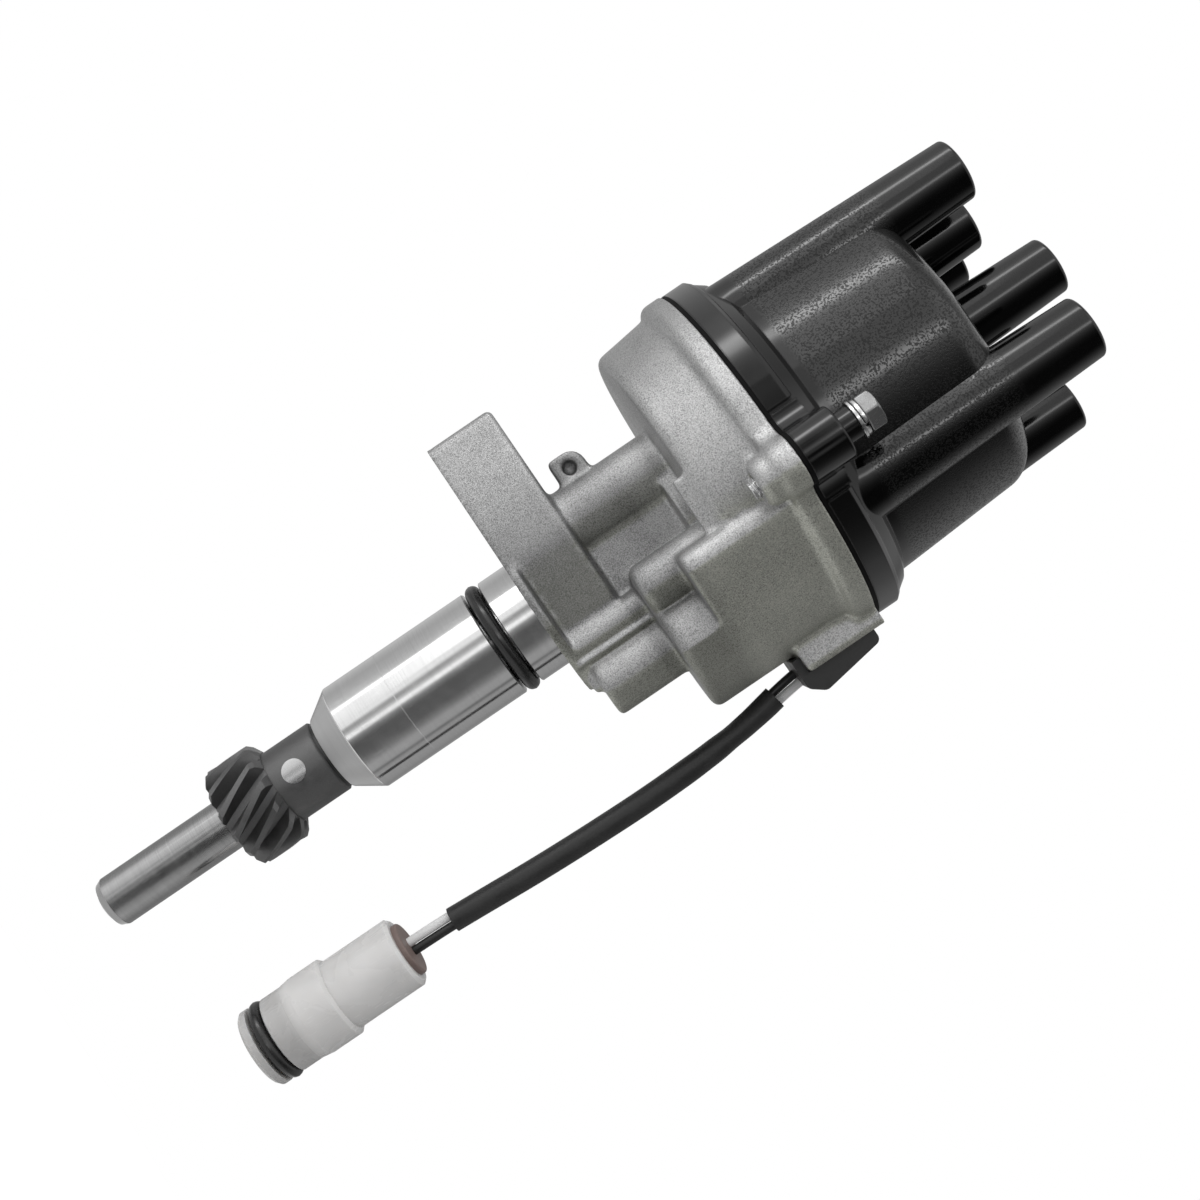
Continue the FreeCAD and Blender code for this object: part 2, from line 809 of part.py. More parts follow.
def bearing_cage():
    middle = bearing_foot + bearing_height / 2
    solid = cylinder(cage_outer, middle - cage_half_height, middle + cage_half_height)
    solid = solid.cut(cylinder(cage_inner, middle - cage_half_height - 1, middle + cage_half_height + 1))
    band_top = bearing_top - 0.6
    band = cylinder(cage_outer, middle, band_top).cut(cylinder(cage_inner, middle - 1, band_top + 1))
    solid = solid.fuse(band)
    for x, y in ball_places():
        solid = solid.cut(Part.makeSphere(ball_radius + press_gap, Vector(x, y, middle)))
    return solid


def oil_seal():
    solid = revolve([
        (collar_radius + running_gap, seal_foot + 1.2),
        (seal_radius - 1.0, seal_foot),
        (seal_radius, seal_foot),
        (seal_radius, seal_foot + seal_height),
        (collar_radius + 0.8, seal_foot + seal_height),
        (collar_radius + 0.8, seal_foot + 2.4),
        (collar_radius + running_gap, seal_foot + 1.6),
    ])
    return solid


def bearing_retainer():
    solid = cylinder(bearing_boss_radius, bearing_top, retainer_top)
    solid = solid.cut(cylinder(retainer_inner, bearing_top - 1, retainer_top + 1))
    return drill(solid, retainer_screw_radius + press_gap, bearing_top - 1, retainer_top + 1,
                 retainer_screw_places())


def pan_screw(x, y, seat, depth):
    head = cylinder(pan_radius, seat, seat + pan_height, x, y)
    head = head.makeFillet(0.7, edges_at(head, seat + pan_height))
    shank = cylinder(retainer_screw_radius, seat - depth, seat, x, y)
    cross = block(x - 1.5, x + 1.5, y - 0.3, y + 0.3, seat + pan_height - 0.9, seat + pan_height + 1)
    return head.fuse(shank).cut(cross)


def retainer_screws():
    depth = retainer_thickness + retainer_screw_depth - 0.5
    return Part.makeCompound([pan_screw(x, y, retainer_top, depth) for x, y in retainer_screw_places()])


# What turns

def shaft():
    shoulder = gear_foot - relief_drop
    solid = revolve([
        (0, tail_tip),
        (tail_radius - tail_round, tail_tip),
        (tail_radius - 0.3 * tail_round, tail_tip + 0.3 * tail_round),
        (tail_radius, tail_tip + tail_round),
        (tail_radius, shoulder - relief_width),
        (tail_radius - relief_depth, shoulder - relief_width),
        (tail_radius - relief_depth, shoulder),
        (shaft_radius, shoulder),
        (shaft_radius, bearing_foot - collar_length),
        (collar_radius, bearing_foot - collar_length),
        (collar_radius, bearing_foot),
        (journal_radius, bearing_foot),
        (journal_radius, arm_foot),
        (spigot_radius, arm_foot),
        (spigot_radius, shaft_top - 0.6),
        (spigot_radius - 0.6, shaft_top),
        (0, shaft_top),
    ])
    solid = solid.cut(block(spigot_flat, spigot_radius + 1, -9, 9, arm_foot, shaft_top + 1))
    return solid.cut(cross_bore())


def cross_direction():
    turn = math.radians(-90 - pin_turn)
    return Vector(math.cos(turn), math.sin(turn), 0)


def cross_cylinder(radius, reach):
    axis = cross_direction()
    return Part.makeCylinder(radius, 2 * reach, Vector(0, 0, pin_height) - axis * reach, axis)


def cross_bore():
    return cross_cylinder(pin_radius + press_gap, gear_hub_radius + 2)


def gear_pin():
    """Pin through hub and shaft, its ends dressed to the hub's round."""
    solid = cross_cylinder(pin_radius, gear_hub_radius + 1)
    trim = cylinder(gear_hub_radius + 0.15, pin_height - 5, pin_height + 5)
    return solid.common(trim)


def tooth_section(height, turn):
    """Outline of all the teeth at one height: root arc, flank, tip arc and flank for each."""
    pitch = 360.0 / gear_teeth
    middle_radius = (gear_radius + gear_root_radius) / 2

    def at(radius, degrees):
        x, y = polar(radius, degrees + turn)
        return Vector(x, y, height)

    edges = []
    for k in range(gear_teeth):
        start = k * pitch
        tip_left = at(gear_radius, start + 0.33 * pitch)
        tip_right = at(gear_radius, start + 0.59 * pitch)
        root_left = at(gear_root_radius, start + 0.15 * pitch)
        root_right = at(gear_root_radius, start + 0.77 * pitch)
        next_root = at(gear_root_radius, start + 1.15 * pitch)
        edges.append(Part.Arc(root_left, at(middle_radius, start + 0.26 * pitch), tip_left).toShape())
        edges.append(Part.Arc(tip_left, at(gear_radius, start + 0.46 * pitch), tip_right).toShape())
        edges.append(Part.Arc(tip_right, at(middle_radius, start + 0.66 * pitch), root_right).toShape())
        edges.append(Part.Arc(root_right, at(gear_root_radius, start + 0.96 * pitch), next_root).toShape())
    return Part.Wire(edges)


def drive_gear():
    """Left-hand helical teeth lofted through turned sections, trimmed to the shoulder and the chamfer."""
    steps = 6
    twist = math.degrees(gear_face * math.tan(math.radians(gear_helix)) / gear_radius)
    sections = []
    for k in range(steps + 1):
        share = k / steps
        sections.append(tooth_section(gear_foot + share * gear_face, -share * twist))
    teeth = Part.makeLoft(sections, True, False)
    trim = revolve([
        (0, gear_foot),
        (gear_radius - 2 * gear_chamfer, gear_foot),
        (gear_radius + 0.2, gear_foot + 1.6 * gear_chamfer),
        (gear_radius + 0.2, gear_top - gear_shoulder),
        (gear_radius - 0.9, gear_top - 0.5 * gear_shoulder),
        (gear_hub_radius + 0.5, gear_top),
        (0, gear_top),
    ])
    teeth = teeth.common(trim)
    hub = revolve([
        (0, gear_top - 1),
        (gear_hub_radius, gear_top - 1),
        (gear_hub_radius, hub_top - 0.4),
        (gear_hub_radius - 0.4, hub_top),
        (0, hub_top),
    ])
    solid = teeth.fuse(hub)
    solid = solid.cut(cylinder(shaft_radius + press_gap, gear_foot - 1, hub_top + 1))
    return solid.cut(cross_bore())


def thrust_washer():
    low = hub_top + seat_gap
    solid = cylinder(washer_radius, low, low + washer_thickness)
    return solid.cut(cylinder(shaft_radius + running_gap, low - 1, low + washer_thickness + 1))


def signal_rotor():
    solid = cylinder(signal_hub_radius, signal_foot, signal_top)
    reach = cylinder(signal_radius, signal_foot, signal_top)
    for k in range(signal_count):
        half = signal_tooth_width / 2
        tooth = block(0, signal_radius + 1, -half, half, signal_foot, signal_top)
        tooth.rotate(Vector(0, 0, 0), up, 360 / signal_count * k)
        solid = solid.fuse(tooth.common(reach))
    collar = cylinder(journal_radius + 1.6, bearing_top + seat_gap, signal_foot)
    solid = solid.fuse(collar).removeSplitter()
    return solid.cut(cylinder(journal_radius + press_gap, bearing_top - 1, signal_top + 1))


def rotor_arm():
    """Moulded arm: a hub with a D bore, the arm under the blade, and a short tail that balances it."""
    low = arm_foot + seat_gap
    hub = cylinder(arm_hub_radius, low, arm_top)
    arm = rounded_prism([
        (0, -arm_half_width, 1.0),
        (arm_reach, -arm_half_width * 0.7, 2.0),
        (arm_reach, arm_half_width * 0.7, 2.0),
        (0, arm_half_width, 1.0),
    ], arm_top - arm_thickness, arm_top)
    tail = rounded_prism([
        (0, -arm_half_width, 1.0),
        (0, arm_half_width, 1.0),
        (-arm_tail, arm_half_width, 4.0),
        (-arm_tail, -arm_half_width, 4.0),
    ], arm_top - arm_thickness, arm_top)
    rib = block(0, arm_reach - 3, -1.2, 1.2, arm_foot + 3, arm_top - arm_thickness)
    solid = fuse([hub, arm, tail, rib])
    bore = cylinder(spigot_radius + press_gap, low - 1, shaft_top + 0.3)
    bore = bore.cut(block(spigot_flat + press_gap, spigot_radius + 1, -9, 9, low - 2, shaft_top + 1))
    return solid.cut(bore)


def rotor_electrode():
    blade = rounded_prism([
        (-blade_pad_radius, -blade_half_width, 1.0),
        (blade_reach, -blade_half_width, 0.6),
        (blade_reach, blade_half_width, 0.6),
        (-blade_pad_radius, blade_half_width, 1.0),
    ], arm_top, blade_top)
    tip = cylinder(blade_reach, arm_top, blade_top)
    return blade.fuse(cylinder(blade_pad_radius, arm_top, blade_top)).common(tip).removeSplitter()


# Pickup

def pickup_middle():
    return (signal_foot + signal_top) / 2


def pickup_plate():
    low = retainer_top
    high = low + pickup_plate_thickness
    half = pickup_plate_half
    solid = round_block(pickup_plate_inner, pickup_plate_outer, -half, half, low, high, 2.5)
    solid = drill(solid, retainer_screw_radius + press_gap, low - 1, high + 1, pickup_screw_places())
    return drill(solid, pan_radius + 0.5, low - 1, high + 1, retainer_screw_places())


def pickup_screws():
    seat = retainer_top + pickup_plate_thickness
    depth = pickup_plate_thickness + retainer_screw_depth - 0.5
    return Part.makeCompound([pan_screw(x, y, seat, depth) for x, y in pickup_screw_places()])


def pickup_core():
    middle = pickup_middle()
    start = signal_radius + signal_air_gap
    bar = block(start, core_end, -core_half_width, core_half_width,
                middle - core_half_height, middle + core_half_height)
    foot = block(core_end - 2.4, core_end, -magnet_half_width, magnet_half_width,
                 retainer_top + pickup_plate_thickness, middle + core_half_height)
    return bar.fuse(foot).removeSplitter()


def pickup_magnet():
    middle = pickup_middle()
    return block(core_end, core_end + magnet_length, -magnet_half_width, magnet_half_width,
                 retainer_top + pickup_plate_thickness, middle + core_half_height)


def pickup_coil():
    """Wound bobbin round the core, with its two end flanges."""
    middle = pickup_middle()
    low = retainer_top + pickup_plate_thickness
    half = middle - low

    def slab(start, end, half_y, half_z):
        corners = [(-half_z, -half_y, coil_round), (half_z, -half_y, coil_round),
                   (half_z, half_y, coil_round), (-half_z, half_y, coil_round)]
        solid = rounded_prism(corners, 0, end - start)
        solid.rotate(Vector(0, 0, 0), Vector(0, 1, 0), 90)
        solid.translate(Vector(start, 0, middle))
        return solid

    winding = slab(coil_start, coil_end, coil_half_width - 0.8, half - 0.6)
    first = slab(coil_start, coil_start + flange_thickness, coil_half_width, half)
    last = slab(coil_end - flange_thickness, coil_end, coil_half_width, half)
    solid = fuse([winding, first, last])
    return solid.cut(block(coil_start - 1, coil_end + 1, -core_half_width, core_half_width,
                           middle - core_half_height, middle + core_half_height))


# Cap and what it holds

def seat_outline(low, high, radius, grow):
    """Disc with an ear at each cap screw."""
    solid = cylinder(radius, low, high)
    for x, y in screw_places:
        solid = solid.fuse(cylinder(boss_radius + grow, low, high, x, y))
        solid = solid.fuse(cylinder(boss_radius + grow, low, high, x * boss_web_share, y * boss_web_share))
        solid = fuse([solid] + flanks((x, y), radius, boss_radius + grow, low, high))
    return solid


def cap_gasket():
    solid = seat_outline(bowl_height, cap_seat, lip_radius - 0.4, -0.1)
    solid = solid.cut(cylinder(bowl_mouth_radius - bowl_wall + 0.2, bowl_height - 1, cap_seat + 1))
    solid = drill(solid, screw_radius + screw_clearance, bowl_height - 1, cap_seat + 1, screw_places)
    return solid.removeSplitter()


def tower_radius(tip, tip_radius, height):
    return tip_radius + tower_draft * (tip - height)


def tower(place, foot, tip, tip_radius):
    x, y = place
    foot_radius = tower_radius(tip, tip_radius, foot)
    solid = cone(foot_radius, tip_radius, foot, tip, x, y)
    return solid.makeFillet(tower_rim_round, edges_at(solid, tip))


def cap_shell():
    """Outer form of the cap: rim, sloped shoulder, slightly drafted wall and rounded roof."""
    shoulder = cap_seat + cap_shoulder_height
    points = [
        (0, cap_seat),
        (cap_rim_radius - cap_band_step, cap_seat),
        (cap_rim_radius - cap_band_step, cap_seat + cap_band_height + 0.8),
        (cap_wall_foot_radius + 2.0, shoulder - 0.9),
        (cap_wall_foot_radius, shoulder + 0.4),
        (cap_wall_top_radius, cap_top),
        (0, cap_top),
    ]
    solid = revolve(points)
    return solid.makeFillet(cap_round, edges_at(solid, cap_top))


def cap_band():
    """Raised band round the rim, broken at the two screws."""
    solid = revolve([
        (cap_rim_radius - 3, cap_seat),
        (cap_rim_radius, cap_seat),
        (cap_rim_radius, cap_seat + cap_band_height),
        (cap_rim_radius - 0.8, cap_seat + cap_band_height + 0.9),
        (cap_rim_radius - 3, cap_seat + cap_band_height + 2.0),
    ])
    for k in range(2):
        gap = block(cap_rim_radius - 8, cap_rim_radius + 8, -cap_band_gap, cap_band_gap,
                    cap_seat - 1, cap_seat + 20)
        gap.rotate(Vector(0, 0, 0), up, -90 + screw_turn + 180 * k)
        solid = solid.cut(gap)
    return solid


def cap_screw_boss(place):
    x, y = place
    lug = cylinder(boss_radius, cap_seat, cap_boss_top, x, y)
    lug = lug.makeFillet(0.7, edges_at(lug, cap_boss_top))
    tie = cylinder(boss_radius, cap_seat, cap_boss_top - 1.0, x * boss_web_share, y * boss_web_share)
    sleeve = cylinder(cap_boss_sleeve_radius, cap_boss_top - 1, sleeve_top_of_boss, x, y)
    sides = flanks(place, cap_rim_radius, boss_radius, cap_seat, cap_seat + cap_band_height + 1.4)
    return fuse([lug, tie, sleeve] + sides)


def cap_cavity():
    inner_foot = cap_wall_foot_radius - cap_wall
    return revolve([
        (0, cap_seat - spigot_depth - 1),
        (inner_foot, cap_seat - spigot_depth - 1),
        (inner_foot, cap_seat + 4),
        (cap_wall_top_radius - cap_wall, cap_inside_top - 4),
        (cap_wall_top_radius - cap_wall - 4, cap_inside_top),
        (0, cap_inside_top),
    ])


def cap_moulding():
    spigot_radius_outer = bowl_mouth_radius - bowl_wall - spigot_clearance
    body = [cap_shell(), cap_band(), cylinder(spigot_radius_outer, cap_seat - spigot_depth, cap_seat + 1)]
    body += [cap_screw_boss(place) for place in screw_places]
    body += [tower(place, tower_foot, tower_tip, tower_tip_radius) for place in tower_places]
    body.append(tower((0, 0), cap_inside_top, centre_tip, centre_tip_radius))
    body.append(tower(vent_place, cap_inside_top, vent_tip, tower_tip_radius))
    solid = fuse(body)
    solid = solid.cut(cap_cavity())
    inner = [cylinder(lead_boss_radius, lead_boss_foot, cap_inside_top + 1, x, y) for x, y in tower_places]
    inner.append(cylinder(centre_boss_radius, centre_boss_foot, cap_inside_top + 1))
    solid = fuse([solid] + inner)
    for place in tower_places:
        solid = solid.cut(lead_way(place, terminal_foot, tower_tip))
    solid = solid.cut(lead_way((0, 0), spring_top, centre_tip))
    solid = solid.cut(cylinder(brush_radius + running_gap, centre_boss_foot - 1, spring_top))
    solid = solid.cut(cylinder(vent_bore, cap_inside_top - 1, vent_tip + 1, *vent_place))
    return drill(solid, screw_radius + screw_clearance, cap_seat - 1, sleeve_top_of_boss + 1, screw_places)


def cap_pieces():
    """The cap in simple solids that meet face to face: its cup, its towers above the roof and its two lugs."""
    whole = cap_moulding()
    pieces = {}
    crowns = [("lead_tower_%d" % k, place) for k, place in enumerate(tower_places, 1)]
    crowns += [("centre_tower", (0, 0)), ("vent_tower", vent_place)]
    reach = tower_tip_radius + 2.0
    for name, (x, y) in crowns:
        pieces[name] = whole.common(cylinder(reach, cap_top, centre_tip + 1, x, y))
    parting = cylinder(cap_rim_radius - lug_parting, cap_seat - spigot_depth - 1, cap_top)
    for side, (x, y) in zip(("near", "far"), screw_places):
        room = cylinder(boss_radius + flank_round - 1.0, cap_seat, sleeve_top_of_boss, x, y).cut(parting)
        pieces["cap_lug_" + side] = whole.common(room)
        whole = whole.cut(room)
    cup = whole.common(cylinder(far, cap_seat - spigot_depth - 1, cap_top))
    return {"distributor_cap": cup, **pieces}


def lead_way(place, low, tip):
    """Hollow of one tower: the lead's socket, the seat of the cup and the hole of the rod."""
    x, y = place
    floor = tip - socket_depth
    return fuse([
        cylinder(socket_radius, floor, tip + 1, x, y),
        cylinder(cup_radius + press_gap, floor - cup_height, floor + 1, x, y),
        cylinder(terminal_radius + press_gap, low, floor, x, y),
    ])


def terminal(place, low, tip):
    """Rod moulded into the cap, with a cup let into the floor of the lead socket."""
    x, y = place
    floor = tip - socket_depth
    cup = cylinder(cup_radius, floor - cup_height, floor, x, y)
    cup = cup.cut(cylinder(cup_radius - cup_wall, floor - cup_height + cup_wall, floor + 1, x, y))
    return cup.fuse(cylinder(terminal_radius, low, floor - cup_height + cup_wall / 2, x, y)).removeSplitter()


def carbon_brush():
    solid = cylinder(brush_radius, brush_foot, brush_top)
    return solid.makeFillet(0.8, edges_at(solid, brush_foot))


def brush_spring():
    pitch = (spring_length - 2 * spring_wire_radius) / spring_turns
    helix = Part.makeHelix(pitch, pitch * spring_turns, spring_coil_radius)
    start = Vector(spring_coil_radius, 0, 0)
    section = Part.Wire([Part.Circle(start, Vector(0, 1, 0), spring_wire_radius).toShape()])
    solid = Part.Wire(helix.Edges).makePipeShell([section], True, True)
    solid.translate(Vector(0, 0, spring_foot + spring_wire_radius))
    return solid


def cap_screw(place):
    x, y = place
    head = hexagon(hex_across_flats, head_foot, head_foot + hex_height, x, y)
    crown = cone(hex_across_flats * 0.72, hex_across_flats * 0.5, head_foot + hex_height - 2.6,
                 head_foot + hex_height + 0.4, x, y)
    skirt = cylinder(hex_across_flats, head_foot - 1, head_foot + hex_height - 2.4, x, y)
    head = head.common(crown.fuse(skirt))
    low = boss_foot - screw_below_boss
    shank = cylinder(screw_radius, low + 0.6, head_foot + 0.2, x, y)
    tip = cone(screw_radius - 0.5, screw_radius, low, low + 0.6, x, y)
    return fuse([head, shank, tip])


def plain_washer(place):
    x, y = place
    solid = cylinder(plain_washer_radius, sleeve_top_of_boss, washer_top, x, y)
    return solid.cut(cylinder(screw_radius + screw_clearance, sleeve_top_of_boss - 1, washer_top + 1, x, y))


def spring_washer(place):
    x, y = place
    solid = cylinder(spring_washer_radius, washer_top, head_foot, x, y)
    solid = solid.cut(cylinder(screw_radius + screw_clearance, washer_top - 1, head_foot + 1, x, y))
    split = block(0, spring_washer_radius + 1, -spring_washer_gap / 2, spring_washer_gap / 2,
                  washer_top - 1, head_foot + 1)
    split.rotate(Vector(0, 0, 0), up, -60)
    split.translate(Vector(x, y, 0))
    return solid.cut(split)


# Grommet, lead and plug

def lead_grommet():
    """Rubber block over the window: an outer pad that hooks under the shelf, a neck and an inner lip."""
    pad = rounded_prism([
        (grommet_hook, -grommet_low, 0.3),
        (grommet_reach - 2.6, -grommet_low, 1.6),
        (grommet_reach, -grommet_low - 3.4, 2.0),
        (grommet_reach - 2.6, -grommet_high, 1.6),
        (shelf_reach, -grommet_high, 0.2),
        (shelf_reach, -shelf_foot, 0.05),
        (grommet_hook, -shelf_foot, 0.05),
    ], -grommet_half, grommet_half)
    pad.rotate(Vector(0, 0, 0), Vector(1, 0, 0), -90)
    half = window_half - grommet_neck_gap
    neck_low = window_low + grommet_neck_gap
    neck_high = window_high - grommet_neck_gap
    body = block(grommet_inner_reach, shelf_reach, -half, half, neck_low, neck_high)
    return pad.fuse(body).removeSplitter()


def lead_points(turned):
    """Route of one wire: the lead's centre line, moved out by the wire's offset as the pair twists."""
    points = []
    for (x, z), twist in zip(lead_route, lead_twist):
        dx, dy = polar(wire_offset, turned + twist)
        points.append(Vector(x + dx, dy, z))
    return points


def on_route(height):
    """Point of the lead's centre line at one height."""
    for (x_high, z_high), (x_low, z_low) in zip(lead_route, lead_route[1:]):
        if z_low <= height <= z_high:
            share = (z_high - height) / (z_high - z_low)
            return Vector(x_high + share * (x_low - x_high), 0, height)


def sleeve_points():
    inner = [Vector(x, 0, z) for x, z in lead_route if sleeve_bottom + 2 < z < sleeve_top - 2]
    return [on_route(sleeve_top)] + inner + [on_route(sleeve_bottom)]


def wire_sleeve():
    points = sleeve_points()
    return tube(points, sleeve_radius).cut(tube(points, sleeve_bore))


def plug_levels():
    rear = plug_top - plug_rear_length
    body = rear - plug_body_length
    front = body - plug_front_length
    groove = front - plug_groove_length
    return rear, body, front, groove


def plug_housing():
    rear, body, front, groove = plug_levels()
    solid = revolve([
        (0, plug_bottom),
        (plug_lip_radius - plug_round, plug_bottom),
        (plug_lip_radius, plug_bottom + plug_round),
        (plug_lip_radius, groove),
        (plug_groove_radius, groove),
        (plug_groove_radius, front),
        (plug_front_radius, front),
        (plug_front_radius, body),
        (plug_front_radius + 0.1, body + 0.2),
        (plug_body_radius - 0.1, body + plug_collar_slope),
        (plug_body_radius, body + plug_collar_slope + 0.4),
        (plug_body_radius, rear - plug_round),
        (plug_body_radius - plug_round, rear),
        (plug_rear_radius, rear),
        (plug_rear_radius, plug_top - plug_round),
        (plug_rear_radius - plug_round, plug_top),
        (0, plug_top),
    ], plug_x)
    seal_seat = cylinder(rear_seal_radius + press_gap, plug_top - rear_seal_depth, plug_top + 1, plug_x)
    solid = solid.cut(seal_seat)
    well = round_block(plug_x - pin_well_half_x, plug_x + pin_well_half_x, -pin_well_half_y, pin_well_half_y,
                       plug_bottom - 1, plug_bottom + pin_well_depth, 1.0)
    solid = solid.cut(well)
    for x in pin_places():
        solid = solid.cut(cylinder(plug_pin_radius + press_gap, plug_bottom, plug_top, x))
    return solid


def pin_places():
    return [plug_x - plug_pin_pitch / 2, plug_x + plug_pin_pitch / 2]


def plug_o_ring():
    rear, body, front, groove = plug_levels()
    middle = (front + groove) / 2
    return ring(plug_groove_radius + plug_ring_section, plug_ring_section, middle, plug_x)


def plug_rear_seal():
    solid = cylinder(rear_seal_radius, plug_top - rear_seal_depth, plug_top + rear_seal_proud, plug_x)
    solid = solid.makeFillet(0.6, edges_at(solid, plug_top + rear_seal_proud))
    for turned in (0, 180):
        end = lead_points(turned)[-1]
        solid = solid.cut(cylinder(wire_radius, plug_top, plug_top + rear_seal_proud + 1, end.x, end.y))
    return solid


def plug_pins():
    low = plug_bottom + plug_pin_setback
    return Part.makeCompound([cylinder(plug_pin_radius, low, low + plug_pin_length, x) for x in pin_places()])


def build():
    nodes = {
        "housing": housing(),
        "barrel_o_ring": ring(ring_centre_radius, ring_section, ring_centre_z),
        "lower_bush": lower_bush(),
        "bearing_outer_race": bearing_outer_race(),
        "bearing_inner_race": bearing_inner_race(),
        "bearing_cage": bearing_cage(),
        "bearing_balls": bearing_balls(),
        "oil_seal": oil_seal(),
        "bearing_retainer": bearing_retainer(),
        "retainer_screws": retainer_screws(),
        "shaft": shaft(),
        "drive_gear": drive_gear(),
        "gear_pin": gear_pin(),
        "thrust_washer": thrust_washer(),
        "signal_rotor": signal_rotor(),
        "rotor_arm": rotor_arm(),
        "rotor_electrode": rotor_electrode(),
        "pickup_plate": pickup_plate(),
        "pickup_screws": pickup_screws(),
        "pickup_core": pickup_core(),
        "pickup_magnet": pickup_magnet(),
        "pickup_coil": pickup_coil(),
        "cap_gasket": cap_gasket(),
        **cap_pieces(),
        "carbon_brush": carbon_brush(),
        "brush_spring": brush_spring(),
        "centre_terminal": terminal((0, 0), spring_top, centre_tip),
        "lead_grommet": lead_grommet(),
        "wire_white": tube(lead_points(0), wire_radius),
        "wire_black": tube(lead_points(180), wire_radius),
        "wire_sleeve": wire_sleeve(),
        "plug_housing": plug_housing(),
        "plug_o_ring": plug_o_ring(),
        "plug_rear_seal": plug_rear_seal(),
        "plug_pins": plug_pins(),
    }
    for k, place in enumerate(tower_places, 1):
        nodes["side_terminal_%d" % k] = terminal(place, terminal_foot, tower_tip)
    for side, place in zip(("near", "far"), screw_places):
        nodes["cap_screw_" + side] = cap_screw(place)
        nodes["plain_washer_" + side] = plain_washer(place)
        nodes["spring_washer_" + side] = spring_washer(place)
    return nodes


os.makedirs("parts", exist_ok=True)
for node, shape in build().items():
    shape.exportStep("parts/" + node + ".step")
for turned, colour in ((0, "white"), (180, "black")):
    print(colour, "wire bend radii", [round(r, 1) for r in arc_radii(lead_points(turned))])
print("sleeve bend radii", [round(r, 1) for r in arc_radii(sleeve_points())])
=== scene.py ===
# Ignition distributor with a geared shaft, four plug lead towers and a short two wire lead.
# Metres. +Z is the shaft axis towards the cap, -Y the side with the cap screw in sight.
import json
import math

import bmesh
import bpy
import numpy as np
from mathutils import Matrix, Vector

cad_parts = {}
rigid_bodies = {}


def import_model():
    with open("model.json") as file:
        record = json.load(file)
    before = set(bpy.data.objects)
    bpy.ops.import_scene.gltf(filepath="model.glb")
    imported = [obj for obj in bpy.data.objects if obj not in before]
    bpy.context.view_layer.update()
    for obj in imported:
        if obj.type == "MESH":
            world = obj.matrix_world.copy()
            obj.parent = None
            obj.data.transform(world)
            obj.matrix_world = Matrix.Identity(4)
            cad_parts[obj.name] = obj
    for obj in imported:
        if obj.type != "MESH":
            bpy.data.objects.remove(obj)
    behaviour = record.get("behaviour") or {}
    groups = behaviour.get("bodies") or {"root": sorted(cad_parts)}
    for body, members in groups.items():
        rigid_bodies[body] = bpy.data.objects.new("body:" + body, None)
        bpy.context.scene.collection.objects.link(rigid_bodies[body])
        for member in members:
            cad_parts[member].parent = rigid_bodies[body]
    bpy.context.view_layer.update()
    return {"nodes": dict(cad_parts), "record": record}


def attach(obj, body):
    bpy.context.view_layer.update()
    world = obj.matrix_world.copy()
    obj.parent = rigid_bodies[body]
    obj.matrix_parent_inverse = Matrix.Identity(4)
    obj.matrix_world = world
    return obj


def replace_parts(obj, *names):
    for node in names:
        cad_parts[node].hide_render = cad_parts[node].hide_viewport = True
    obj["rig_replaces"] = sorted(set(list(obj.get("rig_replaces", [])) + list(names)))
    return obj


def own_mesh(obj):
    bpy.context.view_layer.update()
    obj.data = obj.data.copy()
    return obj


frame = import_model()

mm = 0.001
bodies = frame["record"]["behaviour"]["bodies"]
body_of = {node: body for body, members in bodies.items() for node in members}
slot_of = {row["node"]: row["material_slot"] for row in frame["record"]["subparts"]}


# Camera and studio

def photo_camera():
    """Camera at the photograph's viewpoint, rolled so that the shaft lies across the picture."""
    viewpoint = Vector((5.24, -420, 15.08)) * mm
    yaw, pitch, roll = 0.0006, -0.0039, 0.9731
    ahead = Vector((math.sin(yaw) * math.cos(pitch), math.cos(yaw) * math.cos(pitch), math.sin(pitch)))
    level = ahead.cross(Vector((0, 0, 1))).normalized()
    upright = level.cross(ahead)
    right = math.cos(roll) * level + math.sin(roll) * upright
    top = math.cos(roll) * upright - math.sin(roll) * level
    data = bpy.data.cameras.new("photo_camera")
    data.sensor_width = 36
    data.lens = 54.55
    data.clip_start, data.clip_end = 0.01, 20
    camera = bpy.data.objects.new("photo_camera", data)
    bpy.context.scene.collection.objects.link(camera)
    turn = Matrix((right, top, -ahead)).transposed()
    camera.matrix_world = Matrix.LocRotScale(viewpoint, turn, None)
    bpy.context.scene.camera = camera
    return right, top, -ahead


photo_right, photo_top, photo_near = photo_camera()


def put(tree, kind, links=None, **settings):
    """New node. settings are its properties, links its inputs, each a value or a socket."""
    made = tree.nodes.new(kind)
    for key, value in settings.items():
        setattr(made, key, value)
    for key, value in (links or {}).items():
        if isinstance(value, bpy.types.NodeSocket):
            tree.links.new(value, made.inputs[key])
        else:
            made.inputs[key].default_value = value
    return made


def calc(tree, operation, a, b=0.0, c=0.0, clamp=False):
    """Output of one Math node."""
    links = {0: a, 1: b, 2: c}
    return put(tree, "ShaderNodeMath", links, operation=operation, use_clamp=clamp).outputs[0]


def blend_number(tree, share, a, b):
    """From a to b by the share."""
    return put(tree, "ShaderNodeMix", {0: share, 2: a, 3: b}, data_type="FLOAT").outputs[0]


def grey_of(tree, value):
    """Colour with the same number in its three channels."""
    return put(tree, "ShaderNodeCombineXYZ", {0: value, 1: value, 2: value}).outputs[0]


def blend_colour(tree, share, a, b, kind="MIX"):
    """From colour a to colour b by the share, or another blend of the two."""
    links = {0: share, 6: a, 7: b}
    return put(tree, "ShaderNodeMix", links, data_type="RGBA", blend_type=kind).outputs[2]


